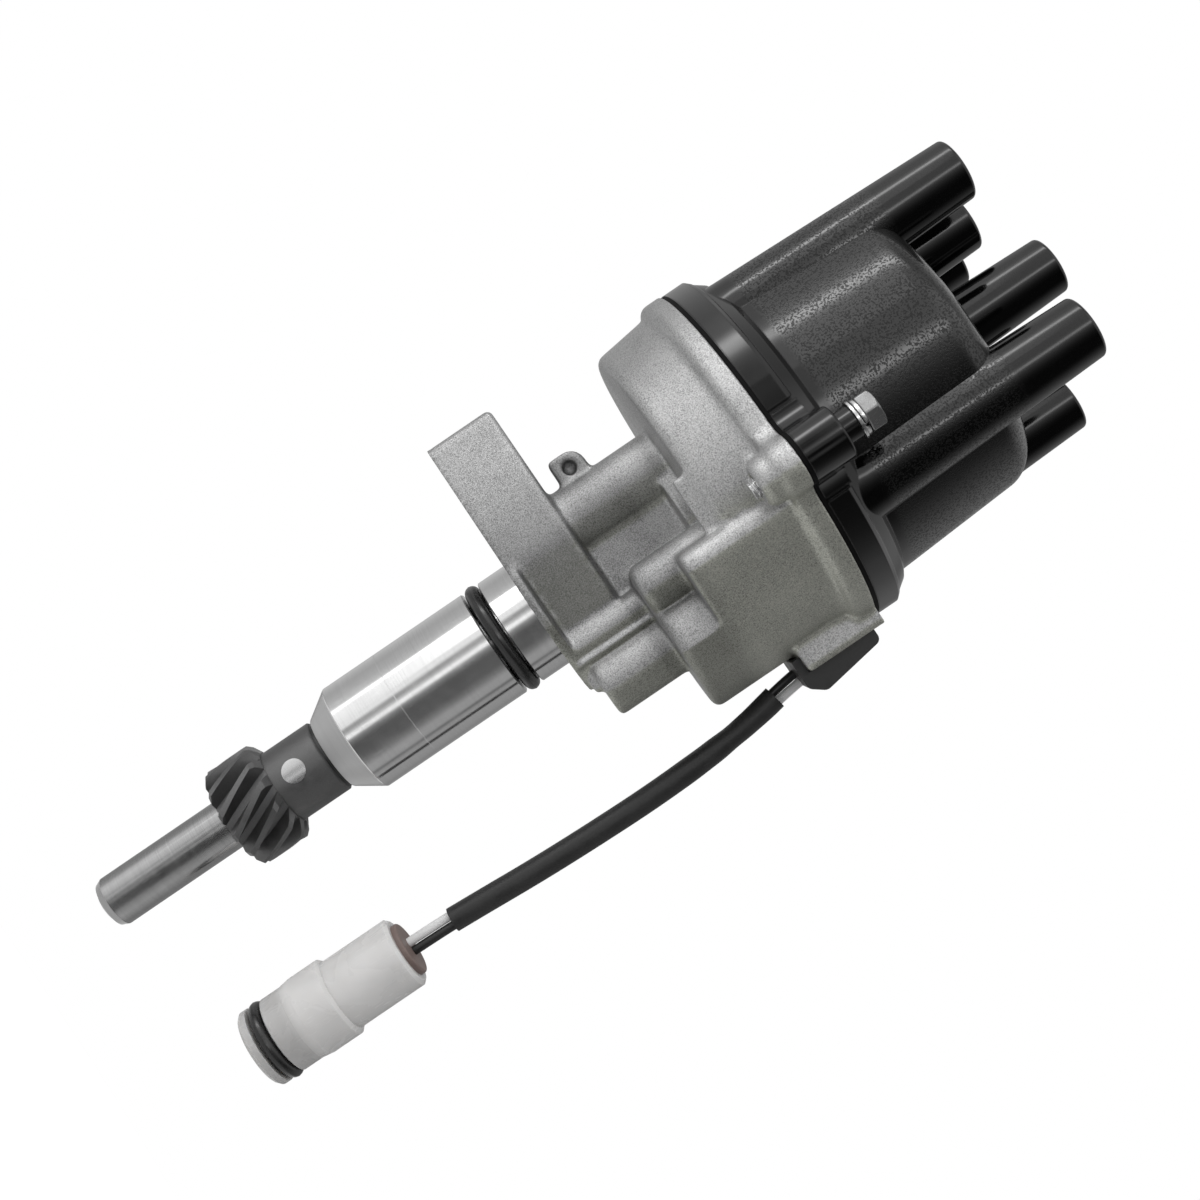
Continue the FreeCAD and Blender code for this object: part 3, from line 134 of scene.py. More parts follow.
def smooth_step(tree, value, low, high, out_low=0.0, out_high=1.0):
    """Smooth rise of a value between two limits."""
    links = {"Value": value, "From Min": low, "From Max": high, "To Min": out_low, "To Max": out_high}
    return put(tree, "ShaderNodeMapRange", links, interpolation_type="SMOOTHSTEP").outputs[0]


def noise(tree, place, scale, detail=2.0, roughness=0.5, distortion=0.0):
    """Noise from 0 to 1, mostly near 0.5. scale is its cells to the metre."""
    links = {"Vector": place, "Scale": scale, "Detail": detail, "Roughness": roughness}
    links["Distortion"] = distortion
    return put(tree, "ShaderNodeTexNoise", links).outputs["Fac"]


def stretched(tree, place, scale):
    """Coordinates scaled by another amount along each axis."""
    return put(tree, "ShaderNodeMapping", {"Vector": place, "Scale": scale}).outputs[0]


brightest = 10.0


def bright_by_turn(tree, share, strips):
    """Brightness by the turn round the part, between (degrees, level) strips.

    Degrees are 0 on the camera's side and 90 on the -X side.
    """
    ramp = put(tree, "ShaderNodeValToRGB", {0: share})
    stops = ramp.color_ramp.elements
    for k, (degrees, bright) in enumerate(strips):
        spot = 0.5 + degrees / 360
        stop = stops[k] if k < 2 else stops.new(spot)
        stop.position = spot
        level = bright / brightest
        stop.color = (level, level, level, 1)
    return calc(tree, "MULTIPLY", ramp.outputs[0], brightest)


# What the gear and the shaft's tail mirror, from far below the camera's height.
strips_far_below = [
    (-180, 0.3), (-128, 0.32), (-114, 0.34), (-92, 0.5), (-74, 0.63), (-57, 0.58), (-42, 0.45),
    (-34, 0.22), (-27, 0.12), (-20, 0.09), (-6, 0.09), (1, 0.12), (8, 0.18), (15, 0.24), (21, 0.55),
    (27, 0.8), (31, 0.8), (36, 0.55), (40, 0.75), (45, 0.95), (59, 1.12), (84, 1.2), (88, 1.05),
    (93, 0.75), (104, 0.5), (130, 0.36), (180, 0.3)]
# What the barrel mirrors.
strips_below = [
    (-180, 0.35), (-148, 0.24), (-129, 0.3), (-100, 0.34), (-90, 0.3), (-84, 0.14), (-78, 0.34),
    (-64, 0.34), (-52, 0.18), (-40, 0.1), (-12, 0.1), (-3, 0.2), (2, 0.4), (5, 1.1), (10, 1.1),
    (14, 0.6), (20, 0.35), (24, 0.4), (29, 0.95), (64, 1.05), (66, 1.7), (70, 1.7), (74, 0.6),
    (90, 0.48), (115, 0.42), (150, 0.55), (180, 0.5)]
# What the cap's rim mirrors.
strips_level = [
    (-180, 0.22), (-153, 0.22), (-128, 0.48), (-111, 0.56), (-96, 0.57), (-83, 0.33), (-71, 0.17),
    (-60, 0.1), (-40, 0.06), (-30, 0.8), (-25, 0.5), (-20, 0.02), (-12, 0.03), (-8, 0.6), (1, 0.7),
    (5, 1.4), (12, 1.4), (18, 0.7), (24, 0.3), (34, 0.45), (45, 0.13), (51, 0.38), (57, 0.95),
    (61, 2.3), (64, 5.6), (71, 8.5), (75, 4.0), (79, 2.0), (97, 1.15), (125, 0.85), (154, 0.44),
    (180, 0.3)]
# What the cap's wall and towers mirror.
strips_above = [
    (-180, 0.3), (-150, 0.24), (-131, 0.36), (-117, 0.36), (-105, 0.28), (-95, 0.18), (-85, 0.07),
    (-76, 0.03), (-42, 0.03), (-30, 0.08), (-23, 0.16), (-16, 0.31), (-9, 0.53), (-2, 0.95), (2, 1.5),
    (4, 4.0), (8, 4.0), (12, 1.5), (18, 1.15), (50, 1.2), (61, 1.4), (65, 2.8), (67, 6.2), (72, 6.2),
    (75, 2.8), (80, 1.8), (88, 1.2), (108, 0.75), (134, 0.5), (154, 0.3), (180, 0.3)]
# What faces turned up mirror.
strips_overhead = [
    (-180, 0.8), (-70, 0.62), (-10, 1.1), (10, 1.45), (40, 1.4), (60, 0.9), (80, 0.6), (180, 0.8)]
# Each set of strips with the heights between which it takes over from the one under it.
strip_bands = [(strips_below, -0.26, -0.2), (strips_level, 0.09, 0.125),
               (strips_above, 0.145, 0.175), (strips_overhead, 0.4, 0.75)]


def studio_world():
    """White to the camera; for light and reflections, tall soft strips round the standing shaft."""
    world = bpy.data.worlds.new("studio")
    bpy.context.scene.world = world
    world.use_nodes = True
    tree = world.node_tree
    tree.nodes.clear()
    where = put(tree, "ShaderNodeTexCoord").outputs["Generated"]
    axes = put(tree, "ShaderNodeSeparateXYZ", {0: where}).outputs
    back_x = calc(tree, "MULTIPLY", axes[0], -1.0)
    back_y = calc(tree, "MULTIPLY", axes[1], -1.0)
    turn = calc(tree, "ARCTAN2", back_x, back_y)
    share = calc(tree, "MULTIPLY_ADD", turn, 0.5 / math.pi, 0.5)
    around = bright_by_turn(tree, share, strips_far_below)
    for strips, start, end in strip_bands:
        band = smooth_step(tree, axes[2], start, end)
        around = blend_number(tree, band, around, bright_by_turn(tree, share, strips))
    white = (1, 1, 1, 1)
    light = put(tree, "ShaderNodeBackground", {"Color": white, "Strength": around}).outputs[0]
    plain = put(tree, "ShaderNodeBackground", {"Color": white, "Strength": 1.0}).outputs[0]
    seen = put(tree, "ShaderNodeLightPath").outputs["Is Camera Ray"]
    mixed = put(tree, "ShaderNodeMixShader", {0: seen, 1: light, 2: plain}).outputs[0]
    put(tree, "ShaderNodeOutputWorld", {0: mixed})


def soft_light(name, right, top, near, side_length, power):
    """Square area light placed by the picture's own axes and turned to the part."""
    data = bpy.data.lights.new(name, "AREA")
    data.shape = "RECTANGLE"
    data.size = side_length
    data.size_y = side_length
    data.energy = power
    lamp = bpy.data.objects.new(name, data)
    bpy.context.scene.collection.objects.link(lamp)
    spot = photo_right * right + photo_top * top + photo_near * near
    toward = (-spot).normalized()
    side = toward.cross(Vector((0, 0, 1))).normalized()
    turn = Matrix((side, side.cross(toward), -toward)).transposed()
    lamp.matrix_world = Matrix.LocRotScale(spot, turn, None)
    lamp.visible_camera = False


def floor():
    """Plain pale round floor well below the part, brought to white where nothing shades it."""
    radius, height, corners = 2, -0.9, 96
    mesh = bpy.data.meshes.new("floor")
    turn = np.linspace(0, 2 * math.pi, corners, endpoint=False)
    rim = np.stack([radius * np.cos(turn), radius * np.sin(turn), np.full(corners, height)], 1)
    mesh.from_pydata(rim.tolist(), [], [list(range(corners))])
    piece = bpy.data.objects.new("floor", mesh)
    bpy.context.scene.collection.objects.link(piece)
    paper = bpy.data.materials.new("floor_paper")
    paper.use_nodes = True
    tree = paper.node_tree
    tree.nodes.clear()
    matt = put(tree, "ShaderNodeBsdfDiffuse", {"Color": (0.8, 0.8, 0.8, 1)}).outputs[0]
    seen = put(tree, "ShaderNodeLightPath").outputs["Is Camera Ray"]
    lift = calc(tree, "MULTIPLY_ADD", seen, 0.75, 0.05)
    glow = put(tree, "ShaderNodeEmission", {"Color": (1, 1, 1, 1), "Strength": lift}).outputs[0]
    both = put(tree, "ShaderNodeAddShader", {0: matt, 1: glow}).outputs[0]
    put(tree, "ShaderNodeOutputMaterial", {0: both})
    mesh.materials.append(paper)


bpy.context.scene.view_settings.view_transform = "Standard"
studio_world()
floor()
soft_light("key_light", -0.25, 0.62, 0.45, side_length=0.5, power=0.45)


# Shared effects

def new_group(name, inputs, outputs):
    """Empty shader node group with named sockets, and its two end nodes."""
    tree = bpy.data.node_groups.new(name, "ShaderNodeTree")
    for label, kind, value in inputs:
        socket = tree.interface.new_socket(label, in_out="INPUT", socket_type=kind)
        if value is not None:
            socket.default_value = value
    for label in outputs:
        tree.interface.new_socket(label, in_out="OUTPUT", socket_type="NodeSocketFloat")
    return tree, put(tree, "NodeGroupInput").outputs, put(tree, "NodeGroupOutput").inputs


place_socket = ("Place", "NodeSocketVector", None)


def number(label, value):
    """Number input of a group."""
    return label, "NodeSocketFloat", value


def make_cast_skin():
    """Height: fine sand grain, a little coarser grain and small pits. Tone: mostly grain, about 0.5."""
    tree, source, result = new_group(
        "cast_skin", [place_socket, number("Grain", 3600), number("Patch", 90)], ["Height", "Tone"])
    place = source["Place"]
    grain = noise(tree, place, source["Grain"], 2.0, 0.7)
    coarse = noise(tree, place, calc(tree, "MULTIPLY", source["Grain"], 0.33), 2.0, 0.5)
    pit_scale = calc(tree, "MULTIPLY", source["Grain"], 0.09)
    cells = {"Vector": place, "Scale": pit_scale, "Randomness": 1.0}
    pits = smooth_step(tree, put(tree, "ShaderNodeTexVoronoi", cells).outputs[0], 0.03, 0.1)
    height = calc(tree, "MULTIPLY_ADD", coarse, 0.2, grain)
    height = calc(tree, "MULTIPLY_ADD", pits, 0.6, height)
    patch = noise(tree, place, source["Patch"], 3.0, 0.6)
    tone = calc(tree, "MULTIPLY_ADD", patch, 0.16, grain)
    tone = calc(tree, "MULTIPLY_ADD", coarse, 0.08, tone)
    tone = calc(tree, "MULTIPLY_ADD", pits, 0.1, tone)
    tone = calc(tree, "MULTIPLY", tone, 0.76)
    tree.links.new(height, result["Height"])
    tree.links.new(tone, result["Tone"])
    return tree


def make_turned_marks():
    """Height and Tone of fine rings round the shaft axis, uneven along it and faint round it."""
    tree, source, result = new_group(
        "turned_marks", [place_socket, number("Rings", 5000)], ["Height", "Tone"])
    lines = stretched(tree, source["Place"], (0.01, 0.01, 1.0))
    fine = noise(tree, lines, source["Rings"], 2.0, 0.7)
    slow = noise(tree, lines, calc(tree, "MULTIPLY", source["Rings"], 0.12), 2.0, 0.5)
    height = calc(tree, "MULTIPLY_ADD", slow, 0.5, fine)
    tree.links.new(height, result["Height"])
    tree.links.new(calc(tree, "MULTIPLY", height, 0.667), result["Tone"])
    return tree


def make_moulded_grain():
    """Height of a spark-eroded mould's texture: small flat islands with pitted ground between them."""
    tree, source, result = new_group("moulded_grain", [place_socket, number("Cells", 1700)], ["Height"])
    height = smooth_step(tree, noise(tree, source["Place"], source["Cells"], 1.0, 0.5), 0.41, 0.53)
    tree.links.new(height, result["Height"])
    return tree


def make_handling():
    """Mask of faint smears and fine scuffs, about 0.5, for roughness and dust."""
    tree, source, result = new_group("handling", [place_socket, number("Size", 60)], ["Mask"])
    place = source["Place"]
    smear = noise(tree, place, source["Size"], 3.0, 0.55, 1.2)
    lines = stretched(tree, place, (1.0, 0.25, 0.12))
    scuff = noise(tree, lines, calc(tree, "MULTIPLY", source["Size"], 30.0), 2.0, 0.5)
    scuff = smooth_step(tree, scuff, 0.62, 0.75)
    mask = calc(tree, "MULTIPLY_ADD", scuff, 0.5, smear, clamp=True)
    tree.links.new(mask, result["Mask"])
    return tree


cast_skin = make_cast_skin()
turned_marks = make_turned_marks()
moulded_grain = make_moulded_grain()
handling = make_handling()


# Finishes

class Finish:
    """A material with its Principled shader, object coordinates and short calls for its nodes."""

    def __init__(self, name, colour, roughness, **sockets):
        self.material = bpy.data.materials.new(name)
        self.material.use_nodes = True
        self.tree = self.material.node_tree
        self.shader = self.tree.nodes["Principled BSDF"]
        self.shader.inputs["Base Color"].default_value = (*colour, 1)
        self.shader.inputs["Roughness"].default_value = roughness
        for key, value in sockets.items():
            self.shader.inputs[key.replace("_", " ")].default_value = value
        self.place = put(self.tree, "ShaderNodeTexCoord").outputs["Object"]

    def group(self, tree, **values):
        """Outputs of a shared effect placed in this material with its own values."""
        made = put(self.tree, "ShaderNodeGroup", node_tree=tree)
        self.tree.links.new(self.place, made.inputs["Place"])
        for key, value in values.items():
            made.inputs[key].default_value = value
        return made.outputs

    def feed(self, socket, value):
        self.tree.links.new(value, self.shader.inputs[socket])

    def colour(self, share, a, b):
        self.feed("Base Color", blend_colour(self.tree, share, (*a, 1), (*b, 1)))

    def rough(self, share, low, high):
        """Roughness from low to high as the share goes from 0.3 to 0.7."""
        self.feed("Roughness", smooth_step(self.tree, share, 0.3, 0.7, low, high))

    def bump(self, height, depth, strength=1.0, normal=None):
        links = {"Height": height, "Distance": depth, "Strength": strength}
        if normal is not None:
            links["Normal"] = normal
        self.feed("Normal", put(self.tree, "ShaderNodeBump", links).outputs[0])

    def axes(self):
        return put(self.tree, "ShaderNodeSeparateXYZ", {0: self.place}).outputs

    def soft_edges(self, radius):
        """Normal that rounds the edges by the radius, in metres."""
        return put(self.tree, "ShaderNodeBevel", {"Radius": radius}, samples=6).outputs[0]

    def follow_turning(self):
        """Stretch the highlights round the shaft axis, as tool marks do."""
        tangent = put(self.tree, "ShaderNodeTangent", direction_type="RADIAL", axis="Z")
        self.feed("Tangent", tangent.outputs[0])


def grey(value, tint=0.0):
    """Grey with a slight warm (+) or cool (-) tint."""
    return value * (1 + tint), value, value * (1 - tint)


def cast_finish():
    """Even grey sand-cast skin with painted light and shade: a warm darker tint on faces turned to +X,
    painted shade in the neck and on the ear towards +X, and a painted lift of light on the bowl towards
    +X.
    """
    ear_top, neck_top, bowl_foot = 0.0168, 0.03, 0.037
    made = Finish("cast_aluminium", grey(0.4), 0.4, Metallic=0.95)
    tree = made.tree
    skin = made.group(cast_skin, Grain=3600.0, Patch=90.0)
    tone = smooth_step(tree, skin["Tone"], 0.34, 0.68)
    colour = blend_colour(tree, tone, (*grey(0.2), 1), (*grey(0.54), 1))
    normal = put(tree, "ShaderNodeTexCoord").outputs["Normal"]
    turn = put(tree, "ShaderNodeSeparateXYZ", {0: normal}).outputs[0]
    axes = made.axes()
    # Painted shade: a warm darker tint on faces turned to +X, rising from x -22 mm to 0, the side turned
    # from the light.
    turned_away_shade = smooth_step(tree, axes[0], -0.022, 0.0, 0.0, 0.9)
    turned_away_shade = calc(tree, "MULTIPLY", turned_away_shade, smooth_step(tree, turn, 0.0, 0.2))
    colour = blend_colour(tree, turned_away_shade, colour, (0.93, 0.94, 0.84, 1), "MULTIPLY")
    # Painted shade on the ear: darker from x -34 mm to -12 mm, where its front face turns from the
    # light, and lighter again past x 9 mm.
    ear_painted_shade = smooth_step(tree, axes[0], -0.034, -0.012, 0.0, 0.36)
    ear_painted_shade = calc(tree, "MULTIPLY", smooth_step(tree, axes[0], 0.0065, 0.009, 1.0, 0.2), ear_painted_shade)
    ear_shade_factor = calc(tree, "SUBTRACT", 1.0, ear_painted_shade)
    # Painted shade in the neck at 0.78 of the colour, and painted light on the bowl, up to 1.14 towards
    # +X.
    bowl_painted_light = smooth_step(tree, axes[0], -0.03, -0.005, 1.0, 1.14)
    shade = blend_number(tree, smooth_step(tree, axes[2], neck_top, bowl_foot), 0.78, bowl_painted_light)
    on_ear = smooth_step(tree, axes[2], ear_top + 0.001, ear_top)
    shade = grey_of(tree, blend_number(tree, on_ear, shade, ear_shade_factor))
    made.feed("Base Color", blend_colour(tree, 1.0, colour, shade, "MULTIPLY"))
    made.rough(skin["Tone"], 0.6, 0.46)
    made.bump(skin["Height"], 0.00006)
    return made.material


def turned_finish():
    """Bright turned aluminium with fine tool rings; the cone at the barrel's end is duller."""
    cone_top = -0.0511
    made = Finish("turned_aluminium", grey(0.8), 0.2,
                  Metallic=1.0, Anisotropic=0.6, Anisotropic_Rotation=0.25)
    marks = made.group(turned_marks, Rings=5000.0)
    wear = made.group(handling, Size=45.0)["Mask"]
    land = smooth_step(made.tree, made.axes()[2], cone_top - 0.0002, cone_top + 0.0002)
    shade = blend_number(made.tree, marks["Tone"], 0.7, 0.88)
    shade = calc(made.tree, "MULTIPLY", shade, blend_number(made.tree, land, 0.64, 1.0))
    made.feed("Base Color", grey_of(made.tree, shade))
    polished = smooth_step(made.tree, wear, 0.3, 0.7, 0.1, 0.18)
    made.feed("Roughness", blend_number(made.tree, land, 0.38, polished))
    made.bump(marks["Height"], 0.00001, 0.5)
    made.follow_turning()
    return made.material


def ground_finish():
    """Dark ground steel with faint rings and handling marks."""
    made = Finish("ground_steel", grey(0.5), 0.25,
                  Metallic=1.0, Anisotropic=0.5, Anisotropic_Rotation=0.25)
    marks = made.group(turned_marks, Rings=4200.0)
    wear = made.group(handling, Size=70.0)["Mask"]
    made.colour(marks["Tone"], grey(0.3), grey(0.52))
    made.rough(wear, 0.1, 0.2)
    made.bump(marks["Height"], 0.000004, 0.5)
    made.follow_turning()
    return made.material


def gear_finish():
    """Hardened gear steel, almost black and a little sooty."""
    made = Finish("gear_steel", grey(0.14), 0.42, Metallic=0.9)
    wear = made.group(handling, Size=160.0)["Mask"]
    skin = made.group(cast_skin, Grain=4500.0, Patch=220.0)
    made.colour(skin["Tone"], grey(0.10), grey(0.19))
    made.rough(wear, 0.36, 0.52)
    made.bump(skin["Height"], 0.00002, 0.5)
    return made.material


def plain_steel(name, shade, low, high):
    """Plain metal of one shade, its roughness between low and high with handling."""
    made = Finish(name, grey(shade), (low + high) / 2, Metallic=1.0)
    wear = made.group(handling, Size=180.0)["Mask"]
    made.colour(wear, grey(shade * 1.06, -0.01), grey(shade * 0.86, 0.01))
    made.rough(wear, low, high)
    return made.material


def zinc_finish():
    """Dull zinc coat, its edges rounded in the shading so that they catch bright highlights."""
    made = Finish("zinc_steel", grey(0.22), 0.26, Metallic=0.72)
    wear = made.group(handling, Size=180.0)["Mask"]
    made.colour(wear, grey(0.24, -0.01), grey(0.17, 0.01))
    made.rough(wear, 0.2, 0.32)
    skin = made.group(cast_skin, Grain=5200.0, Patch=400.0)
    made.bump(skin["Height"], 0.00001, 0.5, made.soft_edges(0.0002))
    return made.material


def rubber(name, colour, low, high, depth=0.00002, grain=2600.0, **sockets):
    """Dark matt rubber or carbon, paler where it was handled."""
    made = Finish(name, colour, (low + high) / 2, **sockets)
    wear = made.group(handling, Size=120.0)["Mask"]
    made.colour(wear, colour, tuple(c * 1.7 + 0.004 for c in colour))
    made.rough(wear, low, high)
    made.bump(made.group(cast_skin, Grain=grain, Patch=200.0)["Height"], depth, 0.4)
    return made.material


def cap_finish(name, depth):
    """Gloss black moulding with soft rim edges. depth is the share of the grain on wall and towers.

    The grain lies between shoulder and roof: glossy islands with rough dark ground between them.
    """
    shoulder, roof, tower_outside = 0.078, 0.108, 0.0445
    made = Finish(name, grey(0.003), 0.14, Specular_IOR_Level=0.3, Coat_Roughness=0.08)
    tree = made.tree
    axes = made.axes()
    low = smooth_step(tree, axes[2], shoulder - 0.0025, shoulder)
    high = smooth_step(tree, axes[2], roof, roof + 0.007, 1.0, 0.3)
    across = calc(tree, "POWER", axes[0], 2.0)
    along = calc(tree, "POWER", axes[1], 2.0)
    radius = calc(tree, "SQRT", calc(tree, "ADD", across, along))
    inside = smooth_step(tree, radius, tower_outside, tower_outside - 0.002)
    grained = calc(tree, "MULTIPLY", calc(tree, "MULTIPLY", low, high), inside)
    grained = calc(tree, "MULTIPLY", grained, depth)
    grain = made.group(moulded_grain, Cells=2200.0)["Height"]
    wear = made.group(handling, Size=55.0)["Mask"]
    pitted = calc(tree, "MULTIPLY", calc(tree, "SUBTRACT", 1.0, grain), grained)
    base = blend_number(tree, wear, 0.0007, 0.002)
    made.feed("Base Color", grey_of(tree, calc(tree, "MULTIPLY_ADD", pitted, 0.004, base)))
    gloss = smooth_step(tree, wear, 0.3, 0.7, 0.07, 0.13)
    made.feed("Roughness", blend_number(tree, pitted, gloss, 0.38))
    islands = calc(tree, "MULTIPLY", grain, 0.72)
    made.feed("Coat Weight", blend_number(tree, grained, 0.3, islands))
    orange_peel = noise(tree, made.place, 400.0, 1.0)
    height = calc(tree, "MULTIPLY_ADD", orange_peel, 0.3, calc(tree, "MULTIPLY", grain, grained))
    rim = smooth_step(tree, axes[2], shoulder + 0.001, shoulder - 0.002, 0.0, 0.0005)
    made.bump(height, 0.000012, 1.0, made.soft_edges(rim))
    return made.material


def nylon_finish():
    """Cloudy white plug plastic that light enters a little, its front end greyer by painted shade."""
    made = Finish("natural_nylon", grey(0.7, 0.01), 0.32, Subsurface_Weight=0.6,
                  Subsurface_Scale=0.003, Subsurface_Radius=(1.0, 0.95, 0.9))
    cloud = noise(made.tree, made.place, 160.0, 2.0)
    # Painted shade: the colour falls to 0.72 at the plug's front end.
    front_painted_shade = smooth_step(made.tree, made.axes()[2], -0.1, -0.096, 0.72, 1.0)
    shade = blend_colour(made.tree, cloud, (*grey(0.6, 0.012), 1), (*grey(0.71, 0.008), 1))
    made.feed("Base Color", blend_colour(made.tree, 1.0, shade, grey_of(made.tree, front_painted_shade), "MULTIPLY"))
    wear = made.group(handling, Size=90.0)["Mask"]
    made.rough(wear, 0.2, 0.32)
    made.bump(noise(made.tree, made.place, 350.0, 2.0), 0.00004, 0.4)
    return made.material


def insulation(name, colour, low, high):
    """Wire insulation, slightly uneven in shade and gloss."""
    made = Finish(name, colour, (low + high) / 2)
    wear = noise(made.tree, made.place, 240.0, 2.0)
    made.colour(wear, colour, tuple(c * 0.86 for c in colour))
    made.rough(wear, low, high)
    return made.material


finishes = {
    "cast_aluminium": cast_finish(),
    "seal_rubber": rubber("seal_rubber", grey(0.009), 0.2, 0.34),
    "bush_bronze": plain_steel("bush_bronze", 0.4, 0.35, 0.5),
    "bearing_steel": plain_steel("bearing_steel", 0.6, 0.12, 0.22),
    "zinc_steel": zinc_finish(),
    "ground_steel": ground_finish(),
    "gear_steel": gear_finish(),
    "cap_plastic": cap_finish("cap_plastic", 0.85),
    "contact_brass": plain_steel("contact_brass", 0.5, 0.2, 0.32),
    "brush_carbon": rubber("brush_carbon", grey(0.03), 0.5, 0.65),
    "white_insulation": insulation("white_insulation", grey(0.8), 0.3, 0.42),
    "black_insulation": insulation("black_insulation", grey(0.014), 0.28, 0.4),
    "natural_nylon": nylon_finish(),
    "brown_seal": rubber("brown_seal", (0.13, 0.095, 0.085), 0.45, 0.6),
}
turned = turned_finish()
sleeve_vinyl = rubber("sleeve_vinyl", grey(0.011), 0.4, 0.52, depth=0.000008, grain=1800.0)
tower_plastic = cap_finish("tower_plastic", 0.3)
pin_steel = plain_steel("pin_steel", 0.64, 0.18, 0.3)
# Brighter zinc: the washers' and the coil spring's own finish, and on the screw shanks a painted glint.
bright_zinc_and_painted_glint = plain_steel("bright_zinc_and_painted_glint", 0.7, 0.16, 0.28)
gasket_rubber = rubber("gasket_rubber", grey(0.001), 0.6, 0.7, Specular_IOR_Level=0.1)
# Thrust washer near black: painted shade of the thin gap between gear hub and barrel cone.
washer_painted_gap_shade = plain_steel("washer_painted_gap_shade", 0.07, 0.3, 0.42)
grommet_rubber = rubber("grommet_rubber", grey(0.012), 0.34, 0.48, depth=0.00004, grain=1500.0)


# Pieces worked out with numpy

def hold(name, mesh, material, body, slot, *nodes):
    """Object for a mesh: its finish, the body it rides on and the nodes it stands for. The slot is not
    used.
    """
    piece = bpy.data.objects.new(name, mesh)
    bpy.context.scene.collection.objects.link(piece)
    mesh.materials.clear()
    mesh.materials.append(material)
    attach(piece, body)
    if nodes:
        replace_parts(piece, *nodes)
    return piece


def shade_round(mesh, degrees=35):
    """Smooth shading with sharp edges where faces meet at more than the angle."""
    for name in ("custom_normal", "sharp_edge", "sharp_face"):
        if name in mesh.attributes:
            mesh.attributes.remove(mesh.attributes[name])
    mesh.shade_smooth()
    mesh.set_sharp_from_angle(angle=math.radians(degrees))


def grid_mesh(name, points, loop=False, degrees=35):
    """Quads over a grid of points, each row closed round.

    With loop the last row joins the first one. Without it both are capped.
    """
    rows, columns = points.shape[:2]
    index = np.arange(rows * columns).reshape(rows, columns)
    index = np.concatenate([index, index[:, :1]], 1)
    if loop:
        index = np.concatenate([index, index[:1]], 0)
    quads = np.stack([index[:-1, :-1], index[:-1, 1:], index[1:, 1:], index[1:, :-1]], -1).reshape(-1, 4)
    mesh = bpy.data.meshes.new(name)
    mesh.from_pydata(points.reshape(-1, 3).tolist(), [], quads.tolist())
    work = bmesh.new()
    work.from_mesh(mesh)
    bmesh.ops.remove_doubles(work, verts=work.verts, dist=1e-7)
    bmesh.ops.holes_fill(work, edges=work.edges, sides=0)
    bmesh.ops.recalc_face_normals(work, faces=work.faces)
    work.to_mesh(mesh)
    work.free()
    shade_round(mesh, degrees)
    return mesh


def held(profile, loop=False, near=0.06):
    """Profile with a point a little inside both ends of each long run, for straight shading."""
    start = profile
    end = np.roll(profile, -1, 0)
    run = np.linalg.norm(end - start, axis=1)
    share = near / np.maximum(run, 1e-9)
    long_run = run > 6 * near
    if not loop:
        long_run[-1] = False
    shares = np.stack([0 * share, share, 1 - share], 1)[..., None]
    points = start[:, None] + (end - start)[:, None] * shares
    keep = np.stack([np.ones(len(run), bool), long_run, long_run], 1)
    return points[keep]


def lathe(name, profile, steps=192, x=0.0, y=0.0, loop=False, degrees=35):
    """Profile of (radius, height) corners in millimetres carried round an upright axis.

    A point's place is the radius times the cosine and the sine of its turn, and its height.
    """
    profile = held(np.array(profile, float), loop) * mm
    turn = np.linspace(0, 2 * math.pi, steps, endpoint=False)
    r, z = profile[:, :1], profile[:, 1:]
    points = np.stack([x * mm + r * np.cos(turn), y * mm + r * np.sin(turn), z + 0 * turn], -1)
    return grid_mesh(name, points, loop=loop, degrees=degrees)


def merged(node):
    """Copy of a CAD node's mesh with its loose triangles joined."""
    mesh = frame["nodes"][node].data.copy()
    work = bmesh.new()
    work.from_mesh(mesh)
    bmesh.ops.remove_doubles(work, verts=work.verts, dist=2e-7)
    bmesh.ops.dissolve_degenerate(work, edges=work.edges, dist=1e-7)
    work.to_mesh(mesh)
    work.free()
    return mesh


def settled(mesh, *modifiers):
    """Mesh after a few modifiers, each given as its kind and settings."""
    holder = bpy.data.objects.new("holder", mesh)
    bpy.context.scene.collection.objects.link(holder)
    for kind, settings in modifiers:
        made = holder.modifiers.new(kind.lower(), kind)
        for key, value in settings.items():
            setattr(made, key, value)
    shape = holder.evaluated_get(bpy.context.evaluated_depsgraph_get())
    result = bpy.data.meshes.new_from_object(shape)
    bpy.data.objects.remove(holder)
    return result


def coordinates(mesh):
    """Places of a mesh's vertices as rows of an array."""
    co = np.empty(len(mesh.vertices) * 3)
    mesh.vertices.foreach_get("co", co)
    return co.reshape(-1, 3)


def move_to(mesh, co):
    """Put a mesh's vertices in new places."""
    mesh.vertices.foreach_set("co", co.ravel())
    mesh.update()


def relax(mesh, weight, rounds):
    """Move each vertex towards the mean of its neighbours, by its weight, a few times."""
    pull = 0.6
    co = coordinates(mesh)
    pairs = np.empty(len(mesh.edges) * 2, int)
    mesh.edges.foreach_get("vertices", pairs)
    a, b = pairs.reshape(-1, 2).T
    count = np.bincount(a, minlength=len(co)) + np.bincount(b, minlength=len(co))
    for _ in range(rounds):
        total = np.empty_like(co)
        for k in range(3):
            total[:, k] = np.bincount(a, co[b, k], len(co)) + np.bincount(b, co[a, k], len(co))
        mean = total / np.maximum(count, 1)[:, None]
        co += (mean - co) * (weight * pull)[:, None]
    move_to(mesh, co)


def dressed(node, material=None):
    """A CAD node whose shape is right keeps it and gets its finish."""
    piece = frame["nodes"][node]
    piece.data.materials.clear()
    piece.data.materials.append(material or finishes[slot_of[node]])
    return piece


